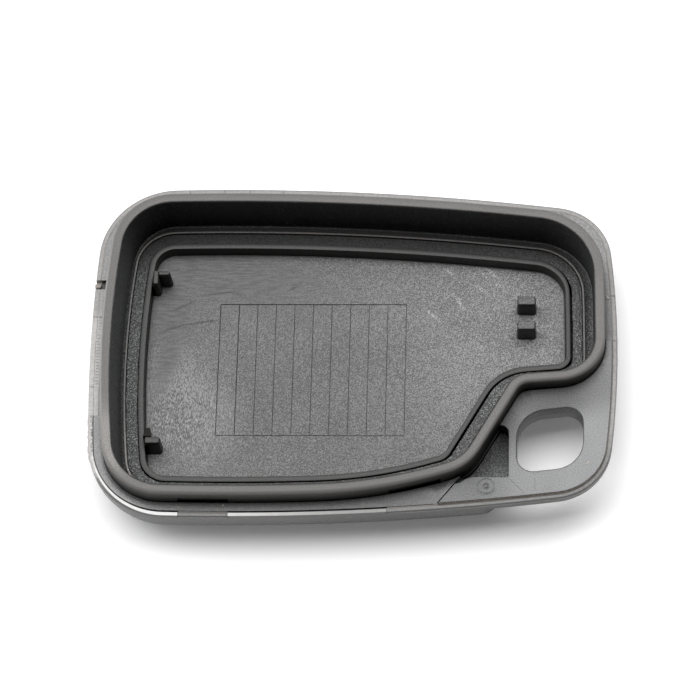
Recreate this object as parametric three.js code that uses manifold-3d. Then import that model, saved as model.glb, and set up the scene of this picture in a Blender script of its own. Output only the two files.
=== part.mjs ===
// Rear half of a card-type key fob shell, lying on its outer face with its inside up.
// Millimetres. +X runs along the length towards the key-ring end, +Y is the back long side, +Z is up.
// The origin is the middle of the face that the shell rests on.
import * as THREE from "three";
import { mergeVertices } from "three/addons/utils/BufferGeometryUtils.js";
import Module from "manifold-3d";

// Outer outline: four bowed sides and four round corners
const LENGTH = 69.8;
const WIDTH = 48.4;
const CREST_X = -16.9; // where the shell is widest
const LONG_SIDE_R = 345;
const BROAD_END_R = 217;
const NARROW_END_R = 128;
const BROAD_CORNER_R = 10.4;
const NARROW_CORNER_R = 8;

// Heights above the rest face
const RIM_Z = 7.6; // top of the rim strip and of the flange
const WALL_RISE = 2.8; // raised wall above the rim
const FOOT_Z = 3.4; // top of the raised wall's foot
const FOOT_T = 0.5;
const LIP_RISE = 0.85; // thin lip on the foot's inner edge
const LEDGE_Z = 3.75; // cover's ledge round the floor panel
const FLOOR_Z = 2.6;
const RIB_RISE = 1.8; // panel's rib above the floor
const SKIN_T = 1.2; // cover's bottom, which carries the panel

// Cover
const BELLY_RUN = 4.6; // how far the side curves in on its way down
const SIDE_STRAIGHT = 0.4; // upright stretch below the rim
const STRIP_W = 0.65; // rim strip
const RIM_EDGE = 0.15; // eased outer edge of the rim
const EAR_SKIN_T = 1.25; // lower layer of the key-ring ear
const EAR_EDGE_RUN = 2.2; // rounding under the ear's edge
const FLANK_RUN = 3.6; // belly's curve under the ear

// Raised wall and flange
const RIM_LONG = 3.4; // outer edge to cavity along the long sides
const RIM_END = 3; // outer edge to cavity at the ends
const WALL_T = 1.35;
const WALL_EDGE = 0.25; // eased top edges
const FOOT_CHAMFER = 0.9;
const FLANGE_T = 1.2;
const EAR_STEP = 0.4; // ear plate above the flange
const LIP_T = 0.28;
const FOOT_W = 1.5; // foot's reach into the cavity

// Floor panel, as distances in from the cavity wall
const RIB_IN = 3.17;
const RIB_W = 0.66;
const RIB_DRAFT = 0.22;
const RIB_EDGE = 0.12;

// Clearances
const SEAM = 0.15; // rim strip to flange and ear plate
const WALL_GAP = 0.2; // flange and ear plate to the raised wall
const COVER_GAP = 0.15; // raised wall and its foot to the cover
const PANEL_GAP = 0.12; // panel to the cover's ledge
const PLATE_GAP = 0.2; // flange to ear plate, and the trims' ends

// Cavity ends and corners
const CAVITY_BROAD_END_R = 135;
const CAVITY_NARROW_END_R = 380;
const CAVITY_BROAD_R = 6.7;
const CAVITY_NARROW_R = 8.2;
const RAMP_ENTRY_R = 62;
const RAMP_EXIT_R = 5.5;
const FLANK_TOP_R = 3.3;
const RUN_END_R = 4.9;
const BELLY_CORNER_R = 7;

// Lines of the cavity round the ear: distance in from the narrow end and from the front side, and slope
const RAMP = { fromEnd: 23.05, fromFront: 6.45, slope: 17 };
const FLANK = { fromEnd: 17.65, fromFront: 11.98, slope: 61 };
const RUN = { fromEnd: 9.4, fromFront: 19.8, slope: 4.9 };

// Belly's sides under the ear, measured the same way
const BELLY_FLANK = { fromEnd: 14.6, fromFront: 12.7, slope: 77 };
const BELLY_RUN_OUT = 2.9; // out from the cavity's run
const BELLY_OVER = 0.2; // past the shell's own front side

// Key-ring ear, measured from the narrow end and the front side
const RING_HOLE = { fromEnd: 8.84, fromFront: 11.1, size: 8.6, slope: 6.8, wideR: 4.1, tightR: 2.05 };
const POCKET = { fromEnd: 14.25, fromFront: 5.7, length: 7.4, corner: 0.7 };
const PLATE_END = { fromEnd: 23.25, fromFront: 2.06, slope: 52.7 };
const PLATE_TOP_FROM_FRONT = 25.6;

// Clip windows in the raised wall
const CLIP_W = 6.5;
const CLIP_H = 1.2;
const CLIP_DEPTH = 0.6;
const FRONT_CLIP_X = [-19, 8.2];
const BACK_CLIP_X = [-17.8];
const END_CLIP_Y = [4.75];

// Bright edge trims in the rim
const TRIM_H = 0.5;
const TRIM_START_FROM_FRONT = 14.5;

// Small notch in the flange at the broad end
const NOTCH = { fromFront: 33.9, width: 1.3, depth: 1.1, drop: 0.6 };

// Pegs and hooks on the floor panel
const PEG = { fromEnd: 12.06, width: 2.5, length: 1.2, top: 5.3, fromFront: [29.1, 32.75] };
const HOOK_TOP = 5.3;
const HOOK_BACK = { bar: 1.1, length: 2.3, side: 1.4, sideLength: 1.1, fromFront: 34.8 };
const HOOK_FRONT = { width: 2.4, length: 1.2, fromFront: 11.6, rib: 0.9, ribLength: 1.3 };

// Fineness
const ARC_TOLERANCE = 0.03;
const MERGE_TOLERANCE = 1e-4;
const CURVE_STEPS = 7;
const FITTING_PASSES = 40;

const WALL_TOP_Z = RIM_Z + WALL_RISE;
const SEAT_Z = RIM_Z - FLANGE_T; // shoulder that carries the flange and the ear plate
const FOOT_BASE_Z = FOOT_Z - FOOT_T;
const EAR_TOP_Z = RIM_Z + EAR_STEP;
const EAR_UNDER_Z = SEAT_Z - EAR_SKIN_T;
const CURVE_TOP_Z = RIM_Z - SIDE_STRAIGHT;
const END_X = LENGTH / 2;
const FRONT_Y = -WIDTH / 2;
const BEYOND = Math.max(LENGTH, WIDTH); // longer than anything that it has to cut

const wasm = await Module();
wasm.setup();

// Sides of an outline. Each gives a point's distance in from the side and the direction inwards.
const bow = (x, y, radius) => {
  const centre = new THREE.Vector2(x, y);
  const side = (p) => {
    const out = p.clone().sub(centre);
    const reach = out.length();
    return { distance: radius - reach, inward: out.divideScalar(-reach) };
  };
  return Object.assign(side, { centre, radius });
};

const straight = (point, slope) => {
  const angle = THREE.MathUtils.degToRad(slope);
  const inward = new THREE.Vector2(-Math.sin(angle), Math.cos(angle));
  return (p) => ({ distance: p.clone().sub(point).dot(inward), inward: inward.clone() });
};

// Centre of the arc that touches two sides from the inside, or from the outside where reach is negative.
function arcCentre(a, b, reach) {
  const p = new THREE.Vector2();
  for (let pass = 0; pass < FITTING_PASSES; pass += 1) {
    const from = a(p);
    const to = b(p);
    const cross = from.inward.cross(to.inward);
    const da = reach - from.distance;
    const db = reach - to.distance;
    p.x += (da * to.inward.y - db * from.inward.y) / cross;
    p.y += (db * from.inward.x - da * to.inward.x) / cross;
  }
  return p;
}

const FULL_TURN = 2 * Math.PI;
const turnBetween = (from, to) => THREE.MathUtils.euclideanModulo(to - from + Math.PI, FULL_TURN) - Math.PI;

// Closed outline, anticlockwise. corners[i] is the radius between sides i and i + 1, negative where the
// outline turns the other way.
function outline(sides, corners) {
  const turns = corners.map((reach, i) => {
    const from = sides[i];
    const to = sides[(i + 1) % sides.length];
    const centre = arcCentre(from, to, reach);
    const start = from(centre).inward.angle();
    return { centre, reach, start, sweep: turnBetween(start, to(centre).inward.angle()) };
  });
  const arcs = [];
  turns.forEach((turn, i) => {
    arcs.push({ ...turn, ends: true });
    const side = sides[(i + 1) % sides.length];
    const next = turns[(i + 1) % turns.length];
    if (!side.radius) return;
    const start = turn.start + turn.sweep;
    const sweep = turnBetween(start, next.start);
    arcs.push({ centre: side.centre, reach: side.radius, start, sweep, ends: false });
  });
  return arcs;
}

// Points of an outline moved in by inset. Every inset of one outline has as many points.
function pointsOf(arcs, inset = 0) {
  const points = [];
  for (const { centre, reach, start, sweep, ends } of arcs) {
    const steps = Math.ceil(Math.abs(sweep) / (2 * Math.acos(1 - ARC_TOLERANCE / Math.abs(reach))));
    const first = ends ? 0 : 1;
    const last = ends ? steps : steps - 1;
    const radius = reach > 0 ? Math.max(reach - inset, ARC_TOLERANCE) : reach - inset;
    for (let k = first; k <= last; k += 1) {
      const angle = start + (sweep * k) / steps;
      points.push(new THREE.Vector2(-radius * Math.cos(angle), -radius * Math.sin(angle)).add(centre));
    }
  }
  return points;
}

// Solids
function solidOf(geometry) {
  geometry.deleteAttribute("normal");
  geometry.deleteAttribute("uv");
  const merged = mergeVertices(geometry, MERGE_TOLERANCE);
  return new wasm.Manifold(
    new wasm.Mesh({
      numProp: 3,
      vertProperties: new Float32Array(merged.attributes.position.array),
      triVerts: new Uint32Array(merged.index.array),
    }),
  );
}

function prism(points, bottom, top) {
  const shape = new THREE.Shape(points);
  const geometry = new THREE.ExtrudeGeometry(shape, { depth: top - bottom, bevelEnabled: false });
  return solidOf(geometry.translate(0, 0, bottom));
}

function block(x0, x1, y0, y1, z0, z1) {
  const geometry = new THREE.BoxGeometry(x1 - x0, y1 - y0, z1 - z0);
  return solidOf(geometry.translate((x0 + x1) / 2, (y0 + y1) / 2, (z0 + z1) / 2));
}

function grid(rows, closed) {
  const count = rows[0].length;
  const positions = rows.flat().flatMap((p) => [p.x, p.y, p.z]);
  const index = [];
  for (let r = 0; r < (closed ? rows.length : rows.length - 1); r += 1) {
    const above = (r + 1) % rows.length;
    for (let k = 0; k < count; k += 1) {
      const next = (k + 1) % count;
      const [a, b, c, d] = [r * count + k, r * count + next, above * count + next, above * count + k];
      index.push(a, b, c, a, c, d);
    }
  }
  return { positions, index };
}

const at = (points, z) => points.map((p) => new THREE.Vector3(p.x, p.y, z));

// Solid through sections [inset, z] of one outline, from the lowest to the highest.
function loft(arcs, sections) {
  const rows = sections.map(([inset, z]) => at(pointsOf(arcs, inset), z));
  const { positions, index } = grid(rows, false);
  const count = rows[0].length;
  const cap = (row, turnOver) => {
    const flat = rows[row].map((p) => new THREE.Vector2(p.x, p.y));
    for (const [a, b, c] of THREE.ShapeUtils.triangulateShape(flat, [])) {
      const base = row * count;
      index.push(base + a, base + (turnOver ? c : b), base + (turnOver ? b : c));
    }
  };
  cap(0, true);
  cap(rows.length - 1, false);
  const geometry = new THREE.BufferGeometry();
  geometry.setAttribute("position", new THREE.Float32BufferAttribute(positions, 3));
  return solidOf(geometry.setIndex(index));
}

// Ring whose section [inset, z] runs round an outline: up outside, in over the top and down inside.
function ring(arcs, section) {
  const { positions, index } = grid(section.map(([inset, z]) => at(pointsOf(arcs, inset), z)), true);
  const geometry = new THREE.BufferGeometry();
  geometry.setAttribute("position", new THREE.Float32BufferAttribute(positions, 3));
  return solidOf(geometry.setIndex(index));
}

const band = (arcs, outer, inner, bottom, top) =>
  ring(arcs, [
    [outer, bottom],
    [outer, top],
    [inner, top],
    [inner, bottom],
  ]);

const fuse = (solids) => solids.reduce((sum, solid) => sum.add(solid));
const carve = (solid, cuts) => cuts.reduce((left, cut) => left.subtract(cut), solid);

// A quarter curve that comes up from its inmost point at the bottom to the outline at the top.
function quarterCurve(run, bottom, top) {
  return Array.from({ length: CURVE_STEPS + 1 }, (_, k) => {
    const angle = (Math.PI / 2) * (1 - k / CURVE_STEPS);
    return [run * (1 - Math.cos(angle)), top - (top - bottom) * Math.sin(angle)];
  });
}

// Square whose front and back sides may slope. The corners' radii start at the front right, anticlockwise.
function roundedSquare(centre, size, slope, corners) {
  const side = (dx, dy, angle) => straight(centre.clone().add(new THREE.Vector2(dx, dy)), angle);
  const half = size / 2;
  const front = side(0, -half, slope);
  const back = side(0, half, 180 + slope);
  return outline([front, side(half, 0, 90), back, side(-half, 0, 270)], corners);
}

const fromEnd = (distance) => END_X - distance;
const fromFront = (distance) => FRONT_Y + distance;
const placed = (line) => new THREE.Vector2(fromEnd(line.fromEnd), fromFront(line.fromFront));

// Outlines
const frontSide = (inset) => bow(CREST_X, FRONT_Y + LONG_SIDE_R, LONG_SIDE_R - inset);
const backSide = (inset) => bow(CREST_X, -FRONT_Y - LONG_SIDE_R, LONG_SIDE_R - inset);
const narrowEnd = (inset) => bow(END_X - NARROW_END_R, 0, NARROW_END_R - inset);
const broadEnd = (inset) => bow(BROAD_END_R - END_X, 0, BROAD_END_R - inset);
const cavityNarrowEnd = bow(END_X - RIM_END - CAVITY_NARROW_END_R, 0, CAVITY_NARROW_END_R);
const cavityBroadEnd = bow(RIM_END - END_X + CAVITY_BROAD_END_R, 0, CAVITY_BROAD_END_R);

const shellOutline = outline(
  [frontSide(0), narrowEnd(0), backSide(0), broadEnd(0)],
  [NARROW_CORNER_R, NARROW_CORNER_R, BROAD_CORNER_R, BROAD_CORNER_R],
);

const movedOut = (line, distance) => {
  const angle = THREE.MathUtils.degToRad(line.slope);
  const out = new THREE.Vector2(Math.sin(angle), -Math.cos(angle));
  return straight(placed(line).addScaledVector(out, distance), line.slope);
};

const cavityOutline = outline(
  [
    frontSide(RIM_LONG),
    movedOut(RAMP, 0),
    movedOut(FLANK, 0),
    movedOut(RUN, 0),
    cavityNarrowEnd,
    backSide(RIM_LONG),
    cavityBroadEnd,
  ],
  [RAMP_ENTRY_R, RAMP_EXIT_R, -FLANK_TOP_R, RUN_END_R, CAVITY_NARROW_R, CAVITY_BROAD_R, CAVITY_BROAD_R],
);

// The belly leaves out the ear. Its other sides lie outside the shell's own.
const bellyOutline = outline(
  [
    frontSide(-BELLY_OVER),
    movedOut(BELLY_FLANK, 0),
    movedOut(RUN, BELLY_RUN_OUT),
    narrowEnd(-BELLY_RUN),
    backSide(-BELLY_RUN),
    broadEnd(-BELLY_RUN),
  ],
  [BELLY_CORNER_R, -FLANK_TOP_R, BELLY_CORNER_R, NARROW_CORNER_R, BROAD_CORNER_R, BROAD_CORNER_R],
);

const ringHole = roundedSquare(placed(RING_HOLE), RING_HOLE.size, RING_HOLE.slope, [
  RING_HOLE.wideR,
  RING_HOLE.tightR,
  RING_HOLE.wideR,
  RING_HOLE.tightR,
]);
const ringHoleCut = prism(pointsOf(ringHole), 0, WALL_TOP_Z);

// Part of the flange's ring that the ear plate takes, smaller by gap at its two ends.
function earRegion(gap, bottom, top) {
  const angle = THREE.MathUtils.degToRad(PLATE_END.slope);
  const along = new THREE.Vector2(Math.cos(angle), Math.sin(angle));
  const across = new THREE.Vector2(Math.sin(angle), -Math.cos(angle));
  const start = placed(PLATE_END).addScaledVector(across, gap);
  const topY = fromFront(PLATE_TOP_FROM_FRONT) - gap;
  const inside = placed(FLANK).add(new THREE.Vector2(-WALL_T, RIM_LONG));
  return prism(
    [
      start.clone().addScaledVector(along, -RIM_LONG),
      new THREE.Vector2(END_X + RIM_END, FRONT_Y - RIM_LONG),
      new THREE.Vector2(END_X + RIM_END, topY),
      new THREE.Vector2(fromEnd(RIM_END + RUN_END_R), topY),
      inside,
      start.clone().addScaledVector(along, FLANK.fromFront - RAMP.fromFront),
    ],
    bottom,
    top,
  );
}

// Stretches of the rim that the edge trims fill
const clipSpan = (centre, grow) => [centre - CLIP_W / 2 - grow, centre + CLIP_W / 2 + grow];

function trimZones(gap) {
  const [cornerEnd, frontStart] = clipSpan(FRONT_CLIP_X[0], gap);
  const [frontEnd] = clipSpan(FRONT_CLIP_X[1], gap);
  const startY = fromFront(TRIM_START_FROM_FRONT) - gap;
  return {
    corner: block(-BEYOND, cornerEnd, -BEYOND, startY, 0, BEYOND),
    front: block(frontStart, frontEnd, -BEYOND, 0, 0, BEYOND),
  };
}

function outerCover() {
  const tub = loft(shellOutline, [
    ...quarterCurve(BELLY_RUN, 0, CURVE_TOP_Z),
    [0, RIM_Z - RIM_EDGE],
    [RIM_EDGE, RIM_Z],
  ]);
  const belly = loft(bellyOutline, [...quarterCurve(FLANK_RUN, 0, SEAT_Z), [0, RIM_Z]]);
  const rimPlate = loft(shellOutline, [
    ...quarterCurve(EAR_EDGE_RUN, EAR_UNDER_Z, CURVE_TOP_Z),
    [0, RIM_Z - RIM_EDGE],
    [RIM_EDGE, RIM_Z],
  ]);
  const trimBed = band(shellOutline, -STRIP_W, STRIP_W + SEAM, RIM_Z - TRIM_H, RIM_Z + TRIM_H);
  const zones = trimZones(0);
  const wallSide = -(WALL_T + COVER_GAP);
  const wallRoom = loft(cavityOutline, [
    [wallSide + FOOT_CHAMFER, FOOT_BASE_Z],
    [wallSide, FOOT_BASE_Z + FOOT_CHAMFER],
    [wallSide, WALL_TOP_Z],
  ]);
  const panelSide = RIB_IN - PANEL_GAP;
  const ledge = band(cavityOutline, FOOT_W + COVER_GAP, panelSide, SKIN_T, LEDGE_Z);
  const panelRoom = prism(pointsOf(cavityOutline, panelSide), SKIN_T, WALL_TOP_Z);
  const hollow = carve(tub.intersect(belly).add(rimPlate), [
    prism(pointsOf(shellOutline, STRIP_W), SEAT_Z, WALL_TOP_Z),
    wallRoom,
  ]);
  return carve(hollow.add(ledge), [
    panelRoom,
    ringHoleCut,
    trimBed.intersect(zones.corner),
    trimBed.intersect(zones.front),
  ]);
}

function flangeRing(top) {
  const outer = prism(pointsOf(shellOutline, STRIP_W + SEAM), SEAT_Z, top);
  return outer.subtract(prism(pointsOf(cavityOutline, -(WALL_T + WALL_GAP)), 0, WALL_TOP_Z));
}

function rimFlange() {
  const notchY = fromFront(NOTCH.fromFront);
  const edgeX = -END_X + STRIP_W + SEAM;
  return carve(flangeRing(RIM_Z), [
    earRegion(-PLATE_GAP, 0, WALL_TOP_Z),
    block(
      -BEYOND,
      edgeX + NOTCH.depth,
      notchY - NOTCH.width / 2,
      notchY + NOTCH.width / 2,
      RIM_Z - NOTCH.drop,
      BEYOND,
    ),
  ]);
}

function earPlate() {
  const corner = placed(POCKET); // its front corner by the ring hole
  const middle = corner.add(new THREE.Vector2(-POCKET.length / 2, POCKET.length / 2));
  const pocket = roundedSquare(middle, POCKET.length, 0, Array(4).fill(POCKET.corner));
  const plate = flangeRing(EAR_TOP_Z).intersect(earRegion(0, 0, WALL_TOP_Z));
  return carve(plate, [ringHoleCut, prism(pointsOf(pocket), 0, WALL_TOP_Z)]);
}

function cavityWall() {
  const body = ring(cavityOutline, [
    [FOOT_W, FOOT_BASE_Z],
    [-WALL_T + FOOT_CHAMFER, FOOT_BASE_Z],
    [-WALL_T, FOOT_BASE_Z + FOOT_CHAMFER],
    [-WALL_T, WALL_TOP_Z - WALL_EDGE],
    [-WALL_T + WALL_EDGE, WALL_TOP_Z],
    [-WALL_EDGE, WALL_TOP_Z],
    [0, WALL_TOP_Z - WALL_EDGE],
    [0, FOOT_Z],
    [FOOT_W - LIP_T, FOOT_Z],
    [FOOT_W - LIP_T, FOOT_Z + LIP_RISE],
    [FOOT_W, FOOT_Z + LIP_RISE],
  ]);
  const clips = band(cavityOutline, -WALL_T - CLIP_DEPTH, CLIP_DEPTH - WALL_T, RIM_Z, RIM_Z + CLIP_H);
  const frontClip = (x) => block(...clipSpan(x, 0), -BEYOND, 0, 0, BEYOND);
  const backClip = (x) => block(...clipSpan(x, 0), 0, BEYOND, 0, BEYOND);
  const endClip = (y) => block(0, BEYOND, ...clipSpan(y, 0), 0, BEYOND);
  const zones = [...FRONT_CLIP_X.map(frontClip), ...BACK_CLIP_X.map(backClip), ...END_CLIP_Y.map(endClip)];
  return carve(body, zones.map((zone) => clips.intersect(zone)));
}

function floorPanel() {
  const ribTop = FLOOR_Z + RIB_RISE;
  const ribInner = RIB_IN + RIB_W;
  const plate = prism(pointsOf(cavityOutline, RIB_IN), SKIN_T, FLOOR_Z);
  const rib = ring(cavityOutline, [
    [RIB_IN, SKIN_T],
    [RIB_IN, ribTop - RIB_EDGE],
    [RIB_IN + RIB_EDGE, ribTop],
    [ribInner - RIB_EDGE, ribTop],
    [ribInner, ribTop - RIB_EDGE],
    [ribInner + RIB_DRAFT, FLOOR_Z],
    [ribInner + RIB_DRAFT, SKIN_T],
  ]);
  const pegX = fromEnd(PEG.fromEnd);
  const pegs = PEG.fromFront.map((y) =>
    block(
      pegX - PEG.width / 2,
      pegX + PEG.width / 2,
      fromFront(y) - PEG.length / 2,
      fromFront(y) + PEG.length / 2,
      SKIN_T,
      PEG.top,
    ),
  );
  const ribX = (y) => cavityBroadEnd.centre.x - Math.sqrt((CAVITY_BROAD_END_R - ribInner) ** 2 - y ** 2);
  const backY = fromFront(HOOK_BACK.fromFront);
  const frontY = fromFront(HOOK_FRONT.fromFront);
  const backEndY = backY + HOOK_BACK.length;
  const frontEndY = frontY + HOOK_FRONT.length;
  // Each hook bar starts inside the rib and reaches past the rib's inner face.
  const bar = (faceX, reach, y0, y1) => block(faceX - RIB_W / 2, faceX + reach, y0, y1, SKIN_T, HOOK_TOP);
  const hooks = [
    bar(ribX(backEndY), HOOK_BACK.bar, backY, backEndY),
    bar(ribX(backEndY), HOOK_BACK.bar + HOOK_BACK.side, backEndY - HOOK_BACK.sideLength, backEndY),
    bar(ribX(frontY), HOOK_FRONT.width, frontY, frontEndY),
    bar(ribX(frontY), HOOK_FRONT.rib, frontY, frontEndY + HOOK_FRONT.ribLength),
  ];
  return fuse([plate, rib, ...pegs, ...hooks]);
}

function edgeTrim(zone) {
  const strip = ring(shellOutline, [
    [0, RIM_Z - TRIM_H],
    [0, RIM_Z - RIM_EDGE],
    [RIM_EDGE, RIM_Z],
    [STRIP_W, RIM_Z],
    [STRIP_W, RIM_Z - TRIM_H],
  ]);
  return strip.intersect(zone);
}

// Scene graph
function meshOf(name, solid, color, roughness, metalness) {
  const { numProp, vertProperties, triVerts } = solid.getMesh();
  const positions = new Float32Array((vertProperties.length / numProp) * 3);
  for (let i = 0; i * numProp < vertProperties.length; i += 1) {
    positions.set(vertProperties.subarray(i * numProp, i * numProp + 3), i * 3);
  }
  const geometry = new THREE.BufferGeometry();
  geometry.setAttribute("position", new THREE.BufferAttribute(positions, 3));
  geometry.setIndex(new THREE.BufferAttribute(triVerts, 1));
  geometry.computeVertexNormals();
  const mesh = new THREE.Mesh(geometry, new THREE.MeshStandardMaterial({ color, roughness, metalness }));
  mesh.name = name;
  return mesh;
}

const zones = trimZones(PLATE_GAP);
const shell = new THREE.Group();
shell.add(
  meshOf("outer_cover", outerCover(), 0x5a5a5b, 0.5, 0),
  meshOf("rim_flange", rimFlange(), 0x525253, 0.6, 0),
  meshOf("ear_plate", earPlate(), 0x545455, 0.6, 0),
  meshOf("cavity_wall", cavityWall(), 0x4a4948, 0.5, 0),
  meshOf("floor_panel", floorPanel(), 0x4c4c4d, 0.55, 0),
  meshOf("edge_trim_corner", edgeTrim(zones.corner), 0x8c8c8c, 0.25, 0),
  meshOf("edge_trim_front", edgeTrim(zones.front), 0x8c8c8c, 0.25, 0),
);

export default shell;
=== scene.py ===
"""Looks of a key fob shell's rear half: fine meshes, moulded finishes, soft light and the camera.

Sizes are millimetres, in the same frame as the solids. Points in plan are complex numbers, x + y * 1j.
"""
from cmath import phase, rect
from math import acos, ceil, cos, degrees, pi, radians, sin, sqrt, tan

import bmesh
import bpy
from mathutils import Matrix, Vector, noise
from mathutils.geometry import delaunay_2d_cdt
from mathutils.kdtree import KDTree


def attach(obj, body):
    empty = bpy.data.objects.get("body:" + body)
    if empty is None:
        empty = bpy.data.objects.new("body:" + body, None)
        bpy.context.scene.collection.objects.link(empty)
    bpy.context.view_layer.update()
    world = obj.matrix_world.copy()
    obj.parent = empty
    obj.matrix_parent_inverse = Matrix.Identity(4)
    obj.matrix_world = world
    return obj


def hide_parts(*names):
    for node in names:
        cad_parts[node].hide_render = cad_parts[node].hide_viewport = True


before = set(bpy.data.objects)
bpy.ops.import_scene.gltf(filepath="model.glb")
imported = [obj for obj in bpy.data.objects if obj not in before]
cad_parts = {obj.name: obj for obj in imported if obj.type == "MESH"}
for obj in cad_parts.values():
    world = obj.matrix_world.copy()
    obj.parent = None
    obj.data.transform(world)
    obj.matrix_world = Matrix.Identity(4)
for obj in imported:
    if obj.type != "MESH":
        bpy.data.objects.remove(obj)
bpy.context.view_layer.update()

MM = 0.001

# Outer outline
LENGTH = 69.8
WIDTH = 48.4
CREST_X = -16.9
LONG_SIDE_R = 345
BROAD_END_R = 217
NARROW_END_R = 128
BROAD_CORNER_R = 10.4
NARROW_CORNER_R = 8

# Heights above the rest face
RIM_Z = 7.6
WALL_TOP_Z = 10.4
SEAT_Z = 6.4
EAR_TOP_Z = 8.0
EAR_UNDER_Z = 5.15
CURVE_TOP_Z = 7.2
FOOT_Z = 3.4
FOOT_BASE_Z = 2.9
LIP_RISE = 0.85
LEDGE_Z = 4.0
FLOOR_Z = 2.6
RIB_TOP_Z = 4.4
SKIN_T = 1.2

# Cover
BELLY_RUN = 4.6
STRIP_W = 0.65
EAR_EDGE_RUN = 1.1
FLANK_RUN = 3.6
OVERHANG_SLOPE = 8
BELLY_EASE = 1.2
UNDER_EASE = 2.0
EASE_IN = 1.5

# Raised wall and flange
RIM_LONG = 3.4
RIM_END = 3
WALL_T = 1.35
WALL_LEAN = 0.8
WALL_ROUND = 0.22
WALL_ROUND_FRONT = 0.3
WALL_ROUND_IN = 0.28
FOOT_CHAMFER = 0.9
FOOT_W = 1.5
FOOT_ROUND = 0.3
LIP_T = 0.28
LIP_ROUND = 0.05

# Floor panel, in from the cavity wall
RIB_IN = 3.17
RIB_W = 0.78
RIB_DRAFT = 0.12
# Its rounded outer edge, in and down, and its foot, in and up
RIB_ROUND = [(0, 0.12), (0.035, 0.035), (0.12, 0)]
RIB_FOOT = [(-0.03, 0.15), (0.03, 0.04), (0.15, 0)]
# Lower top along the front, narrower rib and wider gap at the narrow end
RIB_DIP = 0.2
RIB_SLIM = 0.2

# Clearances
SEAM_FRONT = 0.18
SEAM_BACK = 0.05
SEAM_EAR = 0.08
SEAM_DEPTH = 0.1
SEAM_SHALLOW = 0.03
SEAM_BED_W = 0.24
SEAM_EAR_LEAD = 0.6
WALL_GAP = 0.025
COVER_GAP = 0.06
PANEL_GAP = 0.07
PANEL_GAP_WAVE = 0.03
WAVES_PER_MM = 0.45
PLATE_GAP = 0.2
PLATE_TOP_SHARE = 0.3

# Cavity ends and corners
CAVITY_BROAD_END_R = 135
CAVITY_NARROW_END_R = 380
CAVITY_BROAD_R = 6.7
CAVITY_NARROW_R = 8.2
RAMP_ENTRY_R = 62
RAMP_EXIT_R = 5.5
FLANK_TOP_R = 3.3
RUN_END_R = 4.9
BELLY_CORNER_R = 7
BELLY_FRONT_R = 5.5

END_X = LENGTH / 2
FRONT_Y = -WIDTH / 2


def placed(from_end, from_front):
    """Point measured in from the narrow end and the front side."""
    return complex(END_X - from_end, FRONT_Y + from_front)


# Lines of the cavity and of the belly round the key-ring ear: a point and a slope in degrees
RAMP = placed(23.05, 6.45), 17
FLANK = placed(17.65, 11.98), 61
RUN = placed(9.4, 19.8), 4.9
BELLY_FLANK = placed(14.2, 12.7), 90
BELLY_RUN_OUT = 2.9
BELLY_OVER = 0.2

# Key-ring ear
HOLE_AT = placed(8.84, 11.1)
HOLE_SIZE = 8.6
HOLE_SLOPE = 6.8
HOLE_WIDE_R = 4.1
HOLE_TIGHT_R = 2.05
POCKET_AT = placed(14.25, 5.7)
POCKET_SIZE = 7.4
POCKET_R = 1.1
POCKET_TIGHT_R = 0.2
POCKET_Z = 5.75
POCKET_CLEAR = 0.06
# Stepped foot of the raised wall in the pocket
LAYER_OUT = 0.12
LAYER_TOP_Z = 6.7
PLATE_END_AT = placed(23.25, 2.06)
PLATE_END_SLOPE = 52.7
PLATE_TOP_Y = FRONT_Y + 25.6
PLATE_RECESS = [
    13.6 - 19.5j,
    14.38 - 19.31j,
    14.85 - 18.93j,
    15.43 - 18.64j,
    16 - 18.47j,
    16.6 - 18.42j,
    16.6 - 17.2j,
    12.6 - 18.6j,
]

# Clip windows in the raised wall
CLIP_H = 1.2
CLIP_BELOW = 0.3
CLIP_DEPTH = 0.2
CLIP_STEP = 0.01
FRONT_CLIPS = [(-22.25, -15.75), (4.95, 11.45)]
BACK_CLIP = (-21.05, -14.55)
END_CLIP = (1.5, 8.0)

# Rim: trims, notch and worn stretches at the broad end
TRIM_H = 0.5
TRIM_START_Y = -9.7
POLISHED_FRONT = 0.15
POLISHED_SIDE = 0.34
JAGGED_TO_Y = -16.1
JAGGED_OUT = 0.12
JAG_PITCH = 0.3
NOTCH_Y = (9.05, 10.35)
NOTCH_DROP = 0.6
NOTCH_DEPTH = 1.1
NOTCH_PIN_AT = -34.35 + 9.6j
NOTCH_PIN_SIZE = 0.9 + 0.7j
NOTCH_PIN_R = 0.3
NOTCH_PIN_ROWS = [(0, -0.3), (0, 0.25), (0.08, 0.42), (0.25, 0.5)]
WORN_Y = (TRIM_START_Y, NOTCH_Y[0])
RIM_LEDGE_W = 0.75
RIM_LEDGE_DROP = 0.04
COMB_Y = (-5.5, 4.86)
COMB_PITCH = 0.45
COMB_HALF = 0.07
COMB_DEPTH = 0.05
COMB_ENDS = (SEAM_BACK + 0.17, RIM_LEDGE_W - 0.16)
TICK_HALF = 0.04
TICK_DEPTH = 0.08
BACK_TICKS_X = [-22.6, -17.9, -14.5, -9.95]
NARROW_TICKS_Y = [1.4, 8.05]
# Section of the rim strip: in from the rim, and down from its top
RIM_EDGE = [(0, 0.2), (0.03, 0.1), (0.1, 0.03), (0.2, 0), (STRIP_W * 0.65, 0)]
RIM_EDGE += [(STRIP_W - 0.08, 0), (STRIP_W - 0.02, 0.02), (STRIP_W, 0.08)]

# Fineness and tolerances
STEP = 0.4
EDGE_STEPS = 4
STEP_END = 0.03
TINY = 1e-5
CLOSE = 0.2
FITTING_PASSES = 40
SHARP_ANGLE = radians(32)
CORNER_TURN = radians(15)
FACING = 0.9
SIDE_FALLOFF = 4
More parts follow.
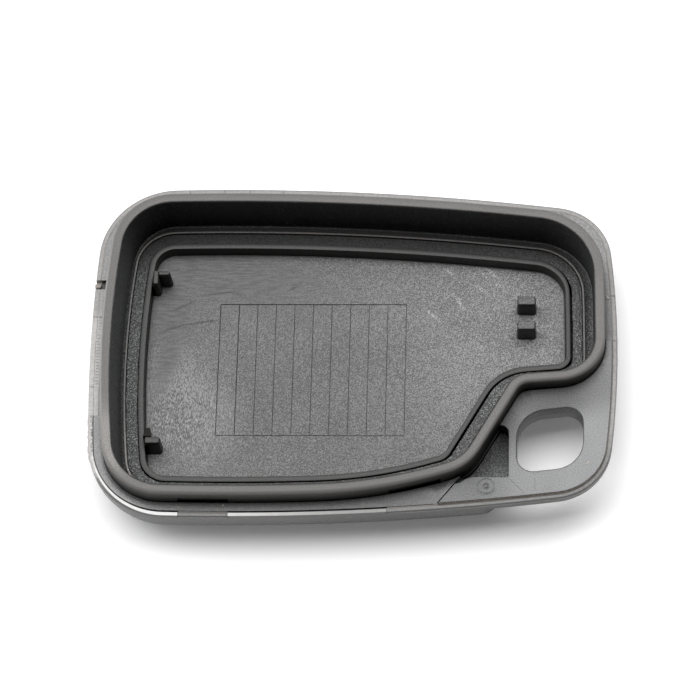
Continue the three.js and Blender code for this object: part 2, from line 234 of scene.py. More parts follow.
# Cover's underside: a strip of rows inside the rim, then lines of points
STRIP_ROWS = 24
STRIP_IN = 3.0
SPOTS_IN = STRIP_IN + 0.15
HOLE_CLEAR = 0.3
TUB_LINES = [3.6, 4.1, 4.7]
FLANK_FROM_X = 8
FLANK_LINES = [0.225 * k - 1.5 for k in range(28)]
FLANK_STOPS = [9.1 + 0.2 * k for k in range(45)]


def unit(z):
    return z / abs(z)


# Outlines: lists of stations, each a point and the way inwards


class Bow:
    """Side that is a long arc."""

    def __init__(self, x, y, radius):
        self.centre = complex(x, y)
        self.radius = radius

    def look(self, point):
        out = point - self.centre
        return self.radius - abs(out), -unit(out)

    def between(self, a, b):
        turn = phase(b[1] / a[1])
        count = ceil(abs(turn) * self.radius / STEP)
        ways = [a[1] * rect(1, turn * k / count) for k in range(1, count)]
        return [(self.centre - self.radius * way, way) for way in ways]


class Straight:
    """Side that is a straight line."""

    def __init__(self, point, slope):
        self.point = point
        self.inward = 1j * rect(1, radians(slope))

    def look(self, point):
        return ((point - self.point) * self.inward.conjugate()).real, self.inward

    def between(self, a, b):
        count = ceil(abs(b[0] - a[0]) / STEP)
        return [(a[0] + (b[0] - a[0]) * k / count, self.inward) for k in range(1, count)]


def arc_centre(a, b, reach):
    """Centre of the arc that touches two sides from inside, or from outside where reach is negative."""
    point = 0j
    for _ in range(FITTING_PASSES):
        from_a, in_a = a.look(point)
        from_b, in_b = b.look(point)
        cross = (in_a.conjugate() * in_b).imag
        point += -1j * ((reach - from_a) * in_b - (reach - from_b) * in_a) / cross
    return point


def outline(sides, corners):
    """Closed outline, anticlockwise.

    corners[i] is the radius between sides i and i + 1, negative where the outline turns back.
    """
    arcs = []
    for i, reach in enumerate(corners):
        a, b = sides[i], sides[(i + 1) % len(sides)]
        centre = arc_centre(a, b, reach)
        start = a.look(centre)[1]
        turn = phase(b.look(centre)[1] / start)
        count = max(EDGE_STEPS, ceil(abs(turn * reach) / STEP))
        ways = [start * rect(1, turn * k / count) for k in range(count + 1)]
        arcs.append([(centre - reach * way, way) for way in ways])
    stations = []
    for i, arc in enumerate(arcs):
        after = (i + 1) % len(arcs)
        stations += arc + sides[after].between(arc[-1], arcs[after][0])
    return stations


def moved_out(line, distance):
    point, slope = line
    return Straight(point - 1j * rect(distance, radians(slope)), slope)


def front_side(inset):
    return Bow(CREST_X, FRONT_Y + LONG_SIDE_R, LONG_SIDE_R - inset)


def back_side(inset):
    return Bow(CREST_X, -FRONT_Y - LONG_SIDE_R, LONG_SIDE_R - inset)


def narrow_end(inset):
    return Bow(END_X - NARROW_END_R, 0, NARROW_END_R - inset)


def broad_end(inset):
    return Bow(BROAD_END_R - END_X, 0, BROAD_END_R - inset)


def rounded_square(centre, size, slope, corners):
    half = size / 2
    sides = [
        Straight(centre - 1j * half, slope),
        Straight(centre + half, 90),
        Straight(centre + 1j * half, 180 + slope),
        Straight(centre - half, 270),
    ]
    return outline(sides, corners)


FRONT, BACK, NARROW, BROAD = 1j, -1j, -1, 1  # the way inwards on each side


def facing(station, side):
    return (station[1] * complex(side).conjugate()).real > FACING


def stopped(stations, side, values):
    """Adds two close stations where a side passes each value, of x on a long side and of y on an end."""
    along = (lambda p: p.real) if side in (FRONT, BACK) else (lambda p: p.imag)
    result = []
    for a, b in zip(stations, stations[1:] + stations[:1]):
        low, high = along(a[0]), along(b[0])
        on_side = facing(a, side)
        if not on_side or all(abs(low - value) > 2 * STEP_END for value in values):
            result.append(a)
        if not on_side:
            continue
        stops = [v for v in values if min(low, high) < v <= max(low, high)]
        for value in sorted(stops, reverse=low > high):
            for shift in (-STEP_END, STEP_END):
                share = (value - low) / (high - low) + shift / abs(b[0] - a[0])
                result.append((a[0] + (b[0] - a[0]) * share, unit(a[1] + (b[1] - a[1]) * share)))
    return result


def plan(stations, inset=0.0):
    return [point + inset * inward for point, inward in stations]


def side_share(station, side):
    """1 on a side, 0 on the sides across it."""
    return max(0, (station[1] * side.conjugate()).real) ** SIDE_FALLOFF


def by_ear(station):
    return station[0].real > PLATE_END_AT.real - SEAM_EAR_LEAD


def seam_plan(stations):
    """Outer edge of the flange and the ear plate. The seam is widest on the front side."""
    line = []
    for station in stations:
        point, inward = station
        widest = SEAM_EAR if by_ear(station) else SEAM_FRONT
        seam = SEAM_BACK + (widest - SEAM_BACK) * side_share(station, FRONT)
        line.append(point + (STRIP_W + seam) * inward)
    return line


shell_line = outline(
    [front_side(0), narrow_end(0), back_side(0), broad_end(0)],
    [NARROW_CORNER_R, NARROW_CORNER_R, BROAD_CORNER_R, BROAD_CORNER_R],
)
cavity_line = outline(
    [
        front_side(RIM_LONG),
        moved_out(RAMP, 0),
        moved_out(FLANK, 0),
        moved_out(RUN, 0),
        Bow(END_X - RIM_END - CAVITY_NARROW_END_R, 0, CAVITY_NARROW_END_R),
        back_side(RIM_LONG),
        Bow(RIM_END - END_X + CAVITY_BROAD_END_R, 0, CAVITY_BROAD_END_R),
    ],
    [RAMP_ENTRY_R, RAMP_EXIT_R, -FLANK_TOP_R, RUN_END_R, CAVITY_NARROW_R, CAVITY_BROAD_R, CAVITY_BROAD_R],
)
belly_line = outline(
    [
        front_side(-BELLY_OVER),
        moved_out(BELLY_FLANK, 0),
        moved_out(RUN, BELLY_RUN_OUT),
        narrow_end(-BELLY_RUN),
        back_side(-BELLY_RUN),
        broad_end(-BELLY_RUN),
    ],
    [BELLY_FRONT_R, -FLANK_TOP_R, BELLY_CORNER_R, NARROW_CORNER_R, BROAD_CORNER_R, BROAD_CORNER_R],
)
hole_line = rounded_square(
    HOLE_AT, HOLE_SIZE, HOLE_SLOPE, [HOLE_WIDE_R, HOLE_TIGHT_R, HOLE_WIDE_R, HOLE_TIGHT_R]
)
pocket_middle = POCKET_AT + (1j - 1) * POCKET_SIZE / 2
pocket_line = rounded_square(pocket_middle, POCKET_SIZE, 0, [POCKET_TIGHT_R, POCKET_R, POCKET_R, POCKET_R])


class Depth:
    """Distance of a point in from an outline."""

    def __init__(self, stations):
        self.stations = stations
        self.tree = KDTree(len(stations))
        for i, (point, _) in enumerate(stations):
            self.tree.insert((point.real, point.imag, 0), i)
        self.tree.balance()

    def __call__(self, point):
        _, i, _ = self.tree.find((point.real, point.imag, 0))
        on_line, inward = self.stations[i]
        return ((point - on_line) * inward.conjugate()).real


# Meshes

# A small rounded edge: in from its side, and down from its top
SMALL_ROUND = [(0, 0.1), (0.03, 0.03), (0.1, 0)]


def rounded(inset, top, way=1, edge=SMALL_ROUND):
    return [(inset + way * reach, top - drop) for reach, drop in edge]


def circle(centre, radius, count):
    return [centre + rect(radius, 2 * pi * k / count) for k in range(count)]


def rectangle(centre, size, radius):
    """Loop with round corners, anticlockwise."""
    loop = []
    for k, corner in enumerate((1 - 1j, 1 + 1j, -1 + 1j, -1 - 1j)):
        inner = size / 2 - complex(radius, radius)
        middle = centre + complex(corner.real * inner.real, corner.imag * inner.imag)
        loop += [middle + rect(radius, pi / 2 * (k - 1 + s / EDGE_STEPS)) for s in range(EDGE_STEPS + 1)]
    return loop


def eased(corners):
    """Closed section with round corners, from corners (inset, z, radius)."""
    places = [complex(inset, z) for inset, z, _ in corners]
    points = []
    for k, (_, _, radius) in enumerate(corners):
        here = places[k]
        if not radius:
            points.append(here)
            continue
        back = unit(places[k - 1] - here)
        ahead = unit(places[(k + 1) % len(places)] - here)
        half = abs(phase(ahead / back)) / 2
        centre = here + unit(back + ahead) * radius / sin(half)
        start = here + back * radius / tan(half) - centre
        turn = phase((here + ahead * radius / tan(half) - centre) / start)
        points += [centre + start * rect(1, turn * s / EDGE_STEPS) for s in range(EDGE_STEPS + 1)]
    return [(p.real, p.imag) for p in points]


def area(loop):
    return sum((a.conjugate() * b).imag for a, b in zip(loop, loop[1:] + loop[:1])) / 2


def regions(loops, keep):
    """Loops round the places that keep chooses by the names of the loops that they lie in.

    Their inside is on the left.
    """
    names = list(loops)
    coords, faces = [], []
    for loop in loops.values():
        faces.append(list(range(len(coords), len(coords) + len(loop))))
        coords += [Vector((p.real, p.imag)) for p in loop]
    points, _, triangles, _, _, owners = delaunay_2d_cdt(coords, [], faces, 1, TINY)
    chosen = [t for t, own in zip(triangles, owners) if keep({names[k] for k in own})]
    edges = {(t[k], t[(k + 1) % 3]) for t in chosen for k in range(3)}
    after = {a: b for a, b in edges if (b, a) not in edges}
    found = []
    while after:
        start, here = after.popitem()
        loop = [start]
        while here != start:
            loop.append(here)
            here = after.pop(here)
        found.append(thinned([complex(*points[i]) for i in loop]))
    return found


def thinned(loop):
    """Loop without the points that lie too close to a corner or to the point before."""
    ways = [unit(b - a) for a, b in zip(loop, loop[1:] + loop[:1])]
    corners = [p for k, p in enumerate(loop) if abs(phase(ways[k] / ways[k - 1])) > CORNER_TURN]
    kept = []
    for point in loop:
        others = corners + kept[-1:]
        if point in corners or all(abs(point - other) > CLOSE for other in others):
            kept.append(point)
    return kept


def drawn_in(loop, distance):
    """Loop moved to its left, with mitred corners."""
    moved = []
    for k, here in enumerate(loop):
        before = unit(here - loop[k - 1]) * 1j
        after = unit(loop[(k + 1) % len(loop)] - here) * 1j
        moved.append(here + distance * (before + after) / (1 + (before.conjugate() * after).real))
    return moved


class Skin:
    """Points and faces of one piece."""

    def __init__(self, finish):
        self.points = []
        self.faces = []
        self.finishes = []
        self.finish = finish

    def row(self, line, height):
        first = len(self.points)
        heights = height if isinstance(height, list) else [height] * len(line)
        self.points += [(p.real, p.imag, z) for p, z in zip(line, heights)]
        return list(range(first, len(self.points)))

    def face(self, *corners):
        self.faces.append(corners)
        self.finishes.append(self.finish)

    def join(self, low, high, closed=True):
        last = len(low) if closed else len(low) - 1
        for k in range(last):
            n = (k + 1) % len(low)
            self.face(low[k], low[n], high[n], high[k])

    def stack(self, rows):
        for low, high in zip(rows, rows[1:]):
            self.join(low, high)

    def fill(self, loops, spots=(), lines=()):
        """Faces between loops, the outer one first. Spots are points of the face and lines its edges."""
        members = [i for loop in loops for i in loop] + list(spots)
        place = {i: k for k, i in enumerate(members)}
        coords = [Vector(self.points[i][:2]) for i in members]
        rings = [[place[i] for i in loop] for loop in loops]
        rings = [r if area([complex(*coords[k]) for k in r]) > 0 else r[::-1] for r in rings]
        edges = [(place[a], place[b]) for a, b in lines]
        _, _, triangles, origins, _, owners = delaunay_2d_cdt(coords, edges, rings, 1, TINY)
        for triangle, own in zip(triangles, owners):
            if 0 in own and len(own) == 1:
                self.face(*(members[origins[k][0]] for k in triangle))

    def ring(self, stations, section, finish_at):
        """Closed ring whose section, which depends on the station, runs round an outline."""
        sections = [section(station) for station in stations]
        rows = []
        for k in range(len(sections[0])):
            line = [p + s[k][0] * inward for (p, inward), s in zip(stations, sections)]
            rows.append(self.row(line, [s[k][1] for s in sections]))
        for k, low in enumerate(rows):
            n = (k + 1) % len(rows)
            self.finish = finish_at(*((a + b) / 2 for a, b in zip(sections[0][k], sections[0][n])))
            self.join(low, rows[n])

    def plate(self, loops, bottom, top, edges, creases=(), side=None):
        """Flat piece with eased top edges. Its loops have their inside on the left, the outer one first.

        Side gives the finish of an upright face by its place.
        """
        rims, bases = [], []
        turns = [pi / 2 * s / EDGE_STEPS for s in range(EDGE_STEPS + 1)]
        for loop, edge in zip(loops, edges * len(loops)):
            rows = [self.row(loop, bottom)]
            for turn in turns:
                inset, drop = edge * (1 - cos(turn)), edge * (1 - sin(turn))
                rows.append(self.row(drawn_in(loop, inset), top - drop))
            self.join(rows[0], rows[1])
            if side:
                self.finishes[-len(loop):] = [side(p) for p in loop]
            self.stack(rows[1:])
            bases.append(rows[0])
            rims.append(rows[-1])
        spots, lines = self.creased(creases, top)
        self.fill(rims, spots, lines)
        self.fill(bases)

    def creased(self, creases, top):
        """Points and edges of fine lines in a flat face, each a path, a half width and a depth."""
        spots, lines = [], []
        for path, half, depth in creases:
            ways = [unit(b - a) for a, b in zip(path, path[1:])]
            ways = [ways[0]] + [unit(a + b) for a, b in zip(ways, ways[1:])] + [ways[-1]]
            left = self.row([p + 1j * half * w for p, w in zip(path, ways)], top)
            low = self.row(path, top - depth)
            right = self.row([p - 1j * half * w for p, w in zip(path, ways)], top)
            ends = self.row([path[0] - half * ways[0], path[-1] + half * ways[-1]], top)
            for track in (left, low, right):
                lines += [(ends[0], track[0]), *zip(track, track[1:]), (track[-1], ends[1])]
            spots += left + low + right + ends
        return spots, lines

    def boss(self, loop, rows, cap=None):
        """Post on a face, of rows (inset, z). Cap is its top's finish. Returns the row of its base."""
        made = [self.row(drawn_in(loop, inset), z) for inset, z in rows]
        self.stack(made)
        around = self.finish
        self.finish = around if cap is None else cap
        self.fill([made[-1]])
        self.finish = around
        return made[0]

    def post(self, loop, base, rows):
        """Closed post, of rows (inset, height over base)."""
        self.fill([self.boss(loop, [(inset, base + rise) for inset, rise in rows])])


def added(name, data):
    """New object in the scene."""
    obj = bpy.data.objects.new(name, data)
    bpy.context.scene.collection.objects.link(obj)
    return obj


def piece(name, skin, node, body, finishes):
    """Object of a skin, which rides on a body and stands for a node of the frame."""
    mesh = bpy.data.meshes.new(name)
    mesh.from_pydata([(x * MM, y * MM, z * MM) for x, y, z in skin.points], [], skin.faces)
    used = sorted(set(skin.finishes))
    for polygon, finish in zip(mesh.polygons, skin.finishes):
        polygon.material_index = used.index(finish)
    work = bmesh.new()
    work.from_mesh(mesh)
    bmesh.ops.remove_doubles(work, verts=work.verts, dist=TINY * MM)
    bmesh.ops.recalc_face_normals(work, faces=work.faces)
    work.to_mesh(mesh)
    work.free()
    mesh.shade_smooth()
    mesh.set_sharp_from_angle(angle=SHARP_ANGLE)
    for finish in used:
        mesh.materials.append(finishes[finish])
    obj = added(name, mesh)
    weighted = obj.modifiers.new("even_shading", "WEIGHTED_NORMAL")
    weighted.keep_sharp = True
    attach(obj, body)
    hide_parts(node)


# Finishes


class Value:
    """Output of a node. Operators on it add Math nodes."""

    def __init__(self, finish, socket):
        self.finish = finish
        self.socket = socket

    def maths(self, operation, *values):
        return self.finish.node("ShaderNodeMath", {"operation": operation}, dict(enumerate(values)))

    def __add__(self, other):
        return self.maths("ADD", self, other)

    __radd__ = __add__

    def __mul__(self, other):
        return self.maths("MULTIPLY", self, other)

    __rmul__ = __mul__

    def __sub__(self, other):
        return self.maths("SUBTRACT", self, other)

    def __rsub__(self, other):
        return self.maths("SUBTRACT", other, self)


PLASTIC_IOR = 1.6
DRY_IOR = 1.5
COLOUR_A, COLOUR_B, COLOUR_OUT = 6, 7, 2  # sockets of a Mix node


class Finish:
    """A material, made node by node."""

    def __init__(self, name):
        self.material = bpy.data.materials.new(name)
        self.material.use_nodes = True
        self.tree = self.material.node_tree
        self.shader = self.tree.nodes["Principled BSDF"]
        self.place = self.node("ShaderNodeTexCoord", output="Object")

    def plug(self, socket, value):
        if isinstance(value, Value):
            self.tree.links.new(value.socket, socket)
        else:
            socket.default_value = value

    def node(self, kind, settings=None, inputs=None, output=0):
        node = self.tree.nodes.new(kind)
        for name, value in (settings or {}).items():
            setattr(node, name, value)
        for key, value in (inputs or {}).items():
            self.plug(node.inputs[key], value)
        return Value(self, node.outputs[output])

    def stretched(self, turn, stretch):
        """Places turned about the vertical by degrees and scaled, for marks that run one way."""
        settings = {"vector_type": "POINT"}
        inputs = {"Vector": self.place, "Rotation": (0, 0, radians(turn)), "Scale": stretch}
        return self.node("ShaderNodeMapping", settings, inputs)

    def along(self, axis):
        """Place along an axis, in metres."""
        return self.node("ShaderNodeSeparateXYZ", None, {"Vector": self.place}, output=axis)

    def noise(self, size, detail, place=None):
        """Noise between 0 and 1 whose features are about size millimetres."""
        inputs = {"Vector": place or self.place, "Scale": 1 / (size * MM), "Detail": detail}
        return self.node("ShaderNodeTexNoise", None, inputs)

    def between(self, value, low, high, start=0.0, end=1.0):
        """Smooth step from start to end as a value goes from low to high."""
        inputs = {"Value": value, "From Min": low, "From Max": high, "To Min": start, "To Max": end}
        return self.node("ShaderNodeMapRange", {"interpolation_type": "SMOOTHSTEP"}, inputs)

    def specks(self, value):
        """Noise with more contrast."""
        return self.between(value, 0.38, 0.62)

    def sheen(self, value, dull, bright):
        """Roughness that follows a noise."""
        return self.between(value, 0.3, 0.7, dull, bright)

    def mix(self, share, a, b):
        inputs = {"Factor": share, COLOUR_A: a, COLOUR_B: b}
        return self.node("ShaderNodeMix", {"data_type": "RGBA"}, inputs, output=COLOUR_OUT)

    def spot(self, centre, size, turn=0.0, soft=0.5, uneven=0.0):
        """Mask of a patch, 1 in its middle and 0 outside, in millimetres and degrees."""
        inputs = {
            "Vector": self.place,
            "Location": (centre.real * MM, centre.imag * MM, 0),
            "Rotation": (0, 0, radians(turn)),
            "Scale": (size.real * MM, size.imag * MM, 1),
        }
        inside = self.node("ShaderNodeMapping", {"vector_type": "TEXTURE"}, inputs)
        reach = self.node("ShaderNodeVectorMath", {"operation": "LENGTH"}, {0: inside}, output="Value")
        if uneven:
            reach = reach + (self.noise(2.5, 3) - 0.5) * uneven
        return self.between(reach, 1 - soft, 1 + soft, 1, 0)

    def scratch(self, start, end, half):
        """Mask of a scratch that tapers to both ends."""
        way = end - start
        return self.spot((start + end) / 2, complex(abs(way) / 2, half), degrees(phase(way)))

    def either(self, masks):
        """Mask of all the places of some masks."""
        result = masks[0]
        for mask in masks[1:]:
            result = result.maths("MAXIMUM", result, mask)
        return result

    def done(self, sockets):
        """The material, with its shader's sockets set or linked."""
        for name, value in sockets.items():
            self.plug(self.shader.inputs[name], value)
        return self.material

    def plastic(self, colour, rough, height, depth, gloss=0.5, ior=PLASTIC_IOR):
        """The finished material. Height, between 0 and 1, stands depth millimetres high."""
        normal = self.node("ShaderNodeBump", None, {"Height": height, "Distance": depth * MM})
        constant = {"Specular IOR Level": gloss, "IOR": ior}
        return self.done({"Base Color": colour, "Roughness": rough, "Normal": normal, **constant})


def grey(value, warmth=0.0):
    """Linear colour, warmer or cooler than neutral."""
    return (value * (1 + warmth), value, value * (1 - warmth), 1)


# Plain moulded finishes: tones are linear greys, grain and depth are millimetres
MOULDED = {
    "satin_wall": dict(tone=0.044, warmth=0.08, grain=0.16, depth=0.012, rough=0.45, mottle=0.3, gloss=0.6),
    "smooth_skin": dict(tone=0.062, warmth=0.0, grain=0.15, depth=0.003, rough=0.4, mottle=0.05),
    "seam_bed": dict(tone=0.075, warmth=0.14, grain=0.2, depth=0.01, rough=0.5),
    # Painted light on the ear plate's upright faces beside the seam
    "warm_edge": dict(tone=0.3, warmth=0.16, grain=0.2, depth=0.01, rough=0.5),
    "rim_strip": dict(tone=0.08, warmth=0.03, grain=0.3, depth=0.008, rough=0.42, mottle=0.1, gloss=0.6),
    "smooth_rib": dict(tone=0.014, warmth=0.06, grain=0.2, depth=0.02, rough=0.48, mottle=0.2, gloss=0.4),
    "grained_peg": dict(tone=0.045, warmth=0.0, grain=0.15, depth=0.06, rough=0.5, mottle=0.8),
    "pale_flash": dict(tone=0.26, warmth=0.1, grain=0.2, depth=0.01, rough=0.4),
}
# Their patches of painted light and shade, lighter or darker than the tone: tone, centre, size and softness
PAINTED_LIGHT = {
    "satin_wall": [
        # Painted shade: lip and wall top darker along the broad end
        (0.036, -33 + 3j, 4 + 14j, 0.5),
        # Painted light: wall top lighter at the broad end's front corner
        (0.12, -32 - 15j, 4 + 5j, 0.6),
        # Painted shade: wall top darker along the front
        (0.03, -4 - 21j, 27 + 3.5j, 0.5),
    ],
    # Painted shade: the cover's outside darker along the front, towards the ear
    "smooth_skin": [(0.025, 12 - 24j, 16 + 5j, 0.7)],
    # Painted light: the seam's bed lighter away from the front, lightest along the ear's front
    "seam_bed": [
        (0.19, 3 + 6j, 60 + 24j, 0.04),
        (0.26, 25 - 22j, 13 + 6j, 0.1),
    ],
    # Painted light: the rim strip lighter away from the front, lightest on the broad end's front half
    "rim_strip": [
        (0.18, 12j, 90 + 28j, 0.12),
        (0.3, -34.5 - 7.5j, 3 + 12.5j, 0.12),
    ],
}
ROUGH_SWING = 0.06


def moulded(name, tone, warmth, grain, depth, rough, mottle=0.12, gloss=0.5):
    """Plastic with the grain of its mould, and its patches of painted light and shade."""
    f = Finish(name)
    pits = f.noise(grain, 1)
    shade = f.specks(f.noise(7, 3) * 0.3 + pits * 0.7)

    def mottled(value):
        return f.mix(shade, grey(value * (1 - mottle), warmth), grey(value * (1 + mottle), warmth))

    colour = mottled(tone)
    for painted_tone, centre, size, soft in PAINTED_LIGHT.get(name, []):
        colour = f.mix(f.spot(centre, size, soft=soft), colour, mottled(painted_tone))
    return f.plastic(colour, f.sheen(pits, rough + ROUGH_SWING, rough - ROUGH_SWING), pits, depth, gloss)


def cavity_side(f):
    pits = f.noise(0.2, 1)
    shade = f.specks(pits)
    # Painted light: the inner faces lighter at the broad end
    painted_light_broad_end = f.spot(-33 - 2j, 5 + 19j, soft=0.4)
    sparks = f.between(f.noise(0.16, 0), 0.68, 0.76)
    colour = f.mix(shade, grey(0.016), grey(0.026, -0.03))
    colour = f.mix(painted_light_broad_end, colour, f.mix(shade, grey(0.03), grey(0.1, -0.02)))
    colour = f.mix(sparks, colour, grey(0.1, -0.02))
    return f.plastic(colour, f.sheen(pits, 0.5, 0.42), pits, 0.02)


def wall_side(f):
    height = f.along("Z")
    pits = f.noise(0.25, 1)
    # Painted shade: the raised wall's outside darkest at its foot, lighter up to its top
    rise = f.between(height + (pits - 0.5) * (0.4 * MM), RIM_Z * MM, WALL_TOP_Z * MM)
    # Painted highlight along the rounded top edge
    edge = f.between(height, (WALL_TOP_Z - 0.6) * MM, (WALL_TOP_Z - 0.1) * MM)
    # Painted light: lighter at the broad end
    worn = f.spot(-34.5 + 0j, 4 + 18j)
    colour = f.mix(rise, grey(0.006, 0.05), grey(0.046, 0.05))
    colour = f.mix(edge, colour, grey(0.12, 0.05))
    colour = f.mix(worn * rise, colour, grey(0.2, 0.04))
    return f.plastic(colour, f.sheen(pits, 0.62, 0.54), pits, 0.012, 0.42, DRY_IOR)


def grained_flange(f):
    pits = f.noise(0.16, 1)
    shade = f.specks(pits * 0.8 + f.noise(4, 3) * 0.2)
    # Painted shade beside the raised wall, along the front and at the narrow end: darker and rougher
    front = f.spot(-2 - 24j, 25 + 4j, soft=0.25)
    end = f.spot(31.5 + 3j, 3.5 + 9j, soft=0.6)
    painted_shade = f.either([front, end])
    colour = f.mix(shade, grey(0.02), grey(0.075, 0.01))
    colour = f.mix(painted_shade, colour, f.mix(shade, grey(0.012), grey(0.034, -0.02)))
    return f.plastic(colour, f.sheen(pits, 0.38, 0.28) + painted_shade * 0.2, pits, 0.03, 0.9)


# Painted shade on the ear beside the raised wall: centre, size and turn
EAR_PAINTED_SHADE = [
    (25 - 6.8j, 7.5 + 3.2j, 5),
    (18.9 - 11.2j, 5.5 + 3.4j, 61),
]


def fine_ear(f):
    pits = f.noise(0.16, 1)
    clouds = f.noise(5, 4)
    # Painted light: lighter round the ear's far end, where the grain is also smoother
    worn = f.spot(30 - 15j, 9 + 9j, soft=0.7, uneven=0.6)
    # Painted shade beside the raised wall, which is also rougher
    painted_shade = f.either([f.spot(*place, soft=0.7) for place in EAR_PAINTED_SHADE])
    dim = f.spot(14.5 - 20.5j, 5 + 3.2j, soft=0.7)
    shade = f.between(pits, 0.42, 0.68) * (0.5 - painted_shade * 0.1) + (worn * 0.35 + clouds * 0.2) * (1 - painted_shade)
    colour = f.mix(shade, grey(0.008), grey(0.13, -0.02))
    rough = f.sheen(clouds, 0.42, 0.36) + painted_shade * 0.22 + dim * 0.14
    return f.plastic(colour, rough, pits * (1 - worn * 0.7), 0.025, 0.8)


def coarse_grain(f):
    pits = f.noise(0.17, 1)
    shade = f.specks(pits)
    across = f.along("Y")
    # Painted shade: much darker at the back
    back = f.between(across, 11 * MM, 19 * MM)
    front = f.spot(-6 - 18.5j, 18 + 3j, soft=0.3)
    pocket = f.spot(19.2 - 13.6j, 2.6 + 4.2j, soft=0.8)
    # Painted reflection at the pocket floor's lower corner: lighter, with more bright specks
    corner = f.spot(20.4 - 18j, 2.4 + 2.8j, soft=0.9)
    # Fewer bright specks and rougher in a band towards the back, in the pocket's upper part and along the
    # front; at the back and in the pocket the fewer specks are painted shade
    dull = f.either([f.between(across, 3 * MM, 17 * MM), pocket, front])
    sparks = f.between(f.noise(0.15, 0) + corner * 0.1, 0.6, 0.7) * (1 - dull * 0.7)
    colour = f.mix(shade, grey(0.006), grey(0.03, -0.02))
    colour = f.mix(corner * 0.7, colour, f.mix(shade, grey(0.02), grey(0.16, -0.02)))
    colour = f.mix(sparks, colour, grey(0.19, -0.02))
    colour = f.mix(back * 0.9, colour, f.mix(shade, grey(0.001), grey(0.008)))
    rough = f.sheen(pits, 0.5, 0.4) + dull * 0.14 + back * 0.2
    return f.plastic(colour, rough, pits, 0.14)


# Rubbed, drawn and scratched places of the floor panel
FLOOR_RUBBED = [
    (-18 + 14j, 13 + 5j, -8),
    (-25.5 + 9j, 4 + 6j, 0),
    (-25.2 + 1j, 1.5 + 5j, -10),
]
FLOOR_DRAWN = (-23 - 7j, 5.5 + 7j, 20)
FLOOR_PALE_SCRATCHES = [
    (11.9 + 14.8j, 12.8 + 13.8j),
    (16.1 + 15.1j, 17.5 + 13.3j),
    (17.4 + 14.9j, 18.9 + 13.2j),
    (15.9 + 12.5j, 17.0 + 11.3j),
    (18.7 + 12.5j, 19.7 + 11.5j),
    (13.0 + 10.9j, 14.6 + 8.6j),
    (9.1 + 8.9j, 11.1 + 6.9j),
]
FLOOR_DARK_SCRATCHES = [
    (-9.2 + 11.4j, -8.0 + 12.05j),
    (-20.5 + 10.7j, -16.3 + 11.3j),
    (-24.5 + 8.5j, -21.8 + 9.8j),
    (-25.9 + 5.3j, -22.8 + 6.3j),
    (-22.9 + 6.2j, -18.4 + 7.0j),
]
FLOOR_DENTS = [26.29 + 11.13j, 21.04 + 4.16j]


def floor_grain(f):
    pits = f.noise(0.15, 1)
    drawn = f.noise(0.11, 1, f.stretched(6, (1, 0.3, 1)))
    streaks = f.noise(0.24, 3, f.stretched(-4, (0.13, 1, 1)))
    clouds = f.noise(9, 3)
    rubbed = f.either([f.spot(*spot, soft=0.7, uneven=0.6) for spot in FLOOR_RUBBED])
    pulled = f.spot(*FLOOR_DRAWN, soft=0.9, uneven=0.3)
    pale = f.either([f.scratch(*ends, 0.24) for ends in FLOOR_PALE_SCRATCHES]) * f.between(pits, 0.35, 0.6)
    dents = [f.spot(centre, 0.2 + 0.2j) for centre in FLOOR_DENTS]
    dark = f.either([f.scratch(*ends, 0.13) for ends in FLOOR_DARK_SCRATCHES] + dents)
    grain = pits * (1 - pulled) + drawn * pulled
    height = grain * (1 - rubbed * 0.85) + streaks * rubbed * 0.12 - dark * 0.25
    shade = f.between(grain * 0.85 + clouds * 0.15, 0.4, 0.62)
    # Painted light: the floor lighter towards the right
    bright = f.spot(20 + 6j, 13 + 14j, soft=0.8)
    colour = f.mix(shade, grey(0.058), grey(0.165))
    colour = f.mix(bright, colour, f.mix(shade, grey(0.075), grey(0.24)))
    colour = f.mix(pulled, colour, f.mix(shade, grey(0.055), grey(0.23)))
    smooth = f.mix(f.between(streaks, 0.35, 0.65), grey(0.03), grey(0.065))
    colour = f.mix(rubbed * 0.85, colour, smooth)
    colour = f.mix(pale * 0.6, colour, grey(0.42))
    colour = f.mix(dark * 0.6, colour, grey(0.02))
    rough = f.sheen(streaks, 0.5, 0.44) - pulled * 0.08
    return f.plastic(colour, rough, height, 0.12, ior=DRY_IOR)


def polished_trim(f):
    rubs = f.noise(0.5, 4, f.stretched(0, (0.3, 1, 1)))
    # Painted highlight: the bevel near white at the front corner, fading along the front
    painted_highlight = f.between(f.along("X") + (rubs - 0.5) * (6 * MM), -26 * MM, 4 * MM, 1, 0)
    low = f.between(f.along("Y") + (f.noise(0.5, 2) - 0.5) * (6 * MM), -18.5 * MM, -13 * MM, 1, 0)
    flecks = f.between(f.noise(0.35, 1), 0.4, 0.6)
    plain = f.mix(low, f.mix(flecks, grey(0.12, 0.03), grey(0.42, 0.03)), grey(0.2, 0.02))
    colour = f.mix(painted_highlight * low, plain, grey(0.62, 0.01))
    return f.plastic(colour, f.sheen(rubs, 0.3, 0.2), rubs, 0.01, ior=DRY_IOR)


def all_finishes():
    """The part's finishes by name."""
    finishes = {name: moulded(name, **look) for name, look in MOULDED.items()}
    grained = [grained_flange, fine_ear, coarse_grain, floor_grain]
    for recipe in [cavity_side, wall_side, *grained, polished_trim]:
        name = recipe.__name__
        finishes[name] = recipe(Finish(name))
    return finishes


# Pieces


def quarter(depth, run, bottom, top):
    """Height of a quarter curve that rises from bottom, run inside the line, to top on it."""
    if depth >= run:
        return bottom
    if depth < 0:
        return top - depth * OVERHANG_SLOPE
    return top - (top - bottom) * sqrt(1 - (1 - depth / run) ** 2)


def soft_max(a, b, ease):
    overlap = max(ease - abs(a - b), 0)
    return max(a, b) + (overlap ** 2 / (4 * ease) if overlap else 0)


def soft_min(a, b, ease):
    return -soft_max(-a, -b, ease)


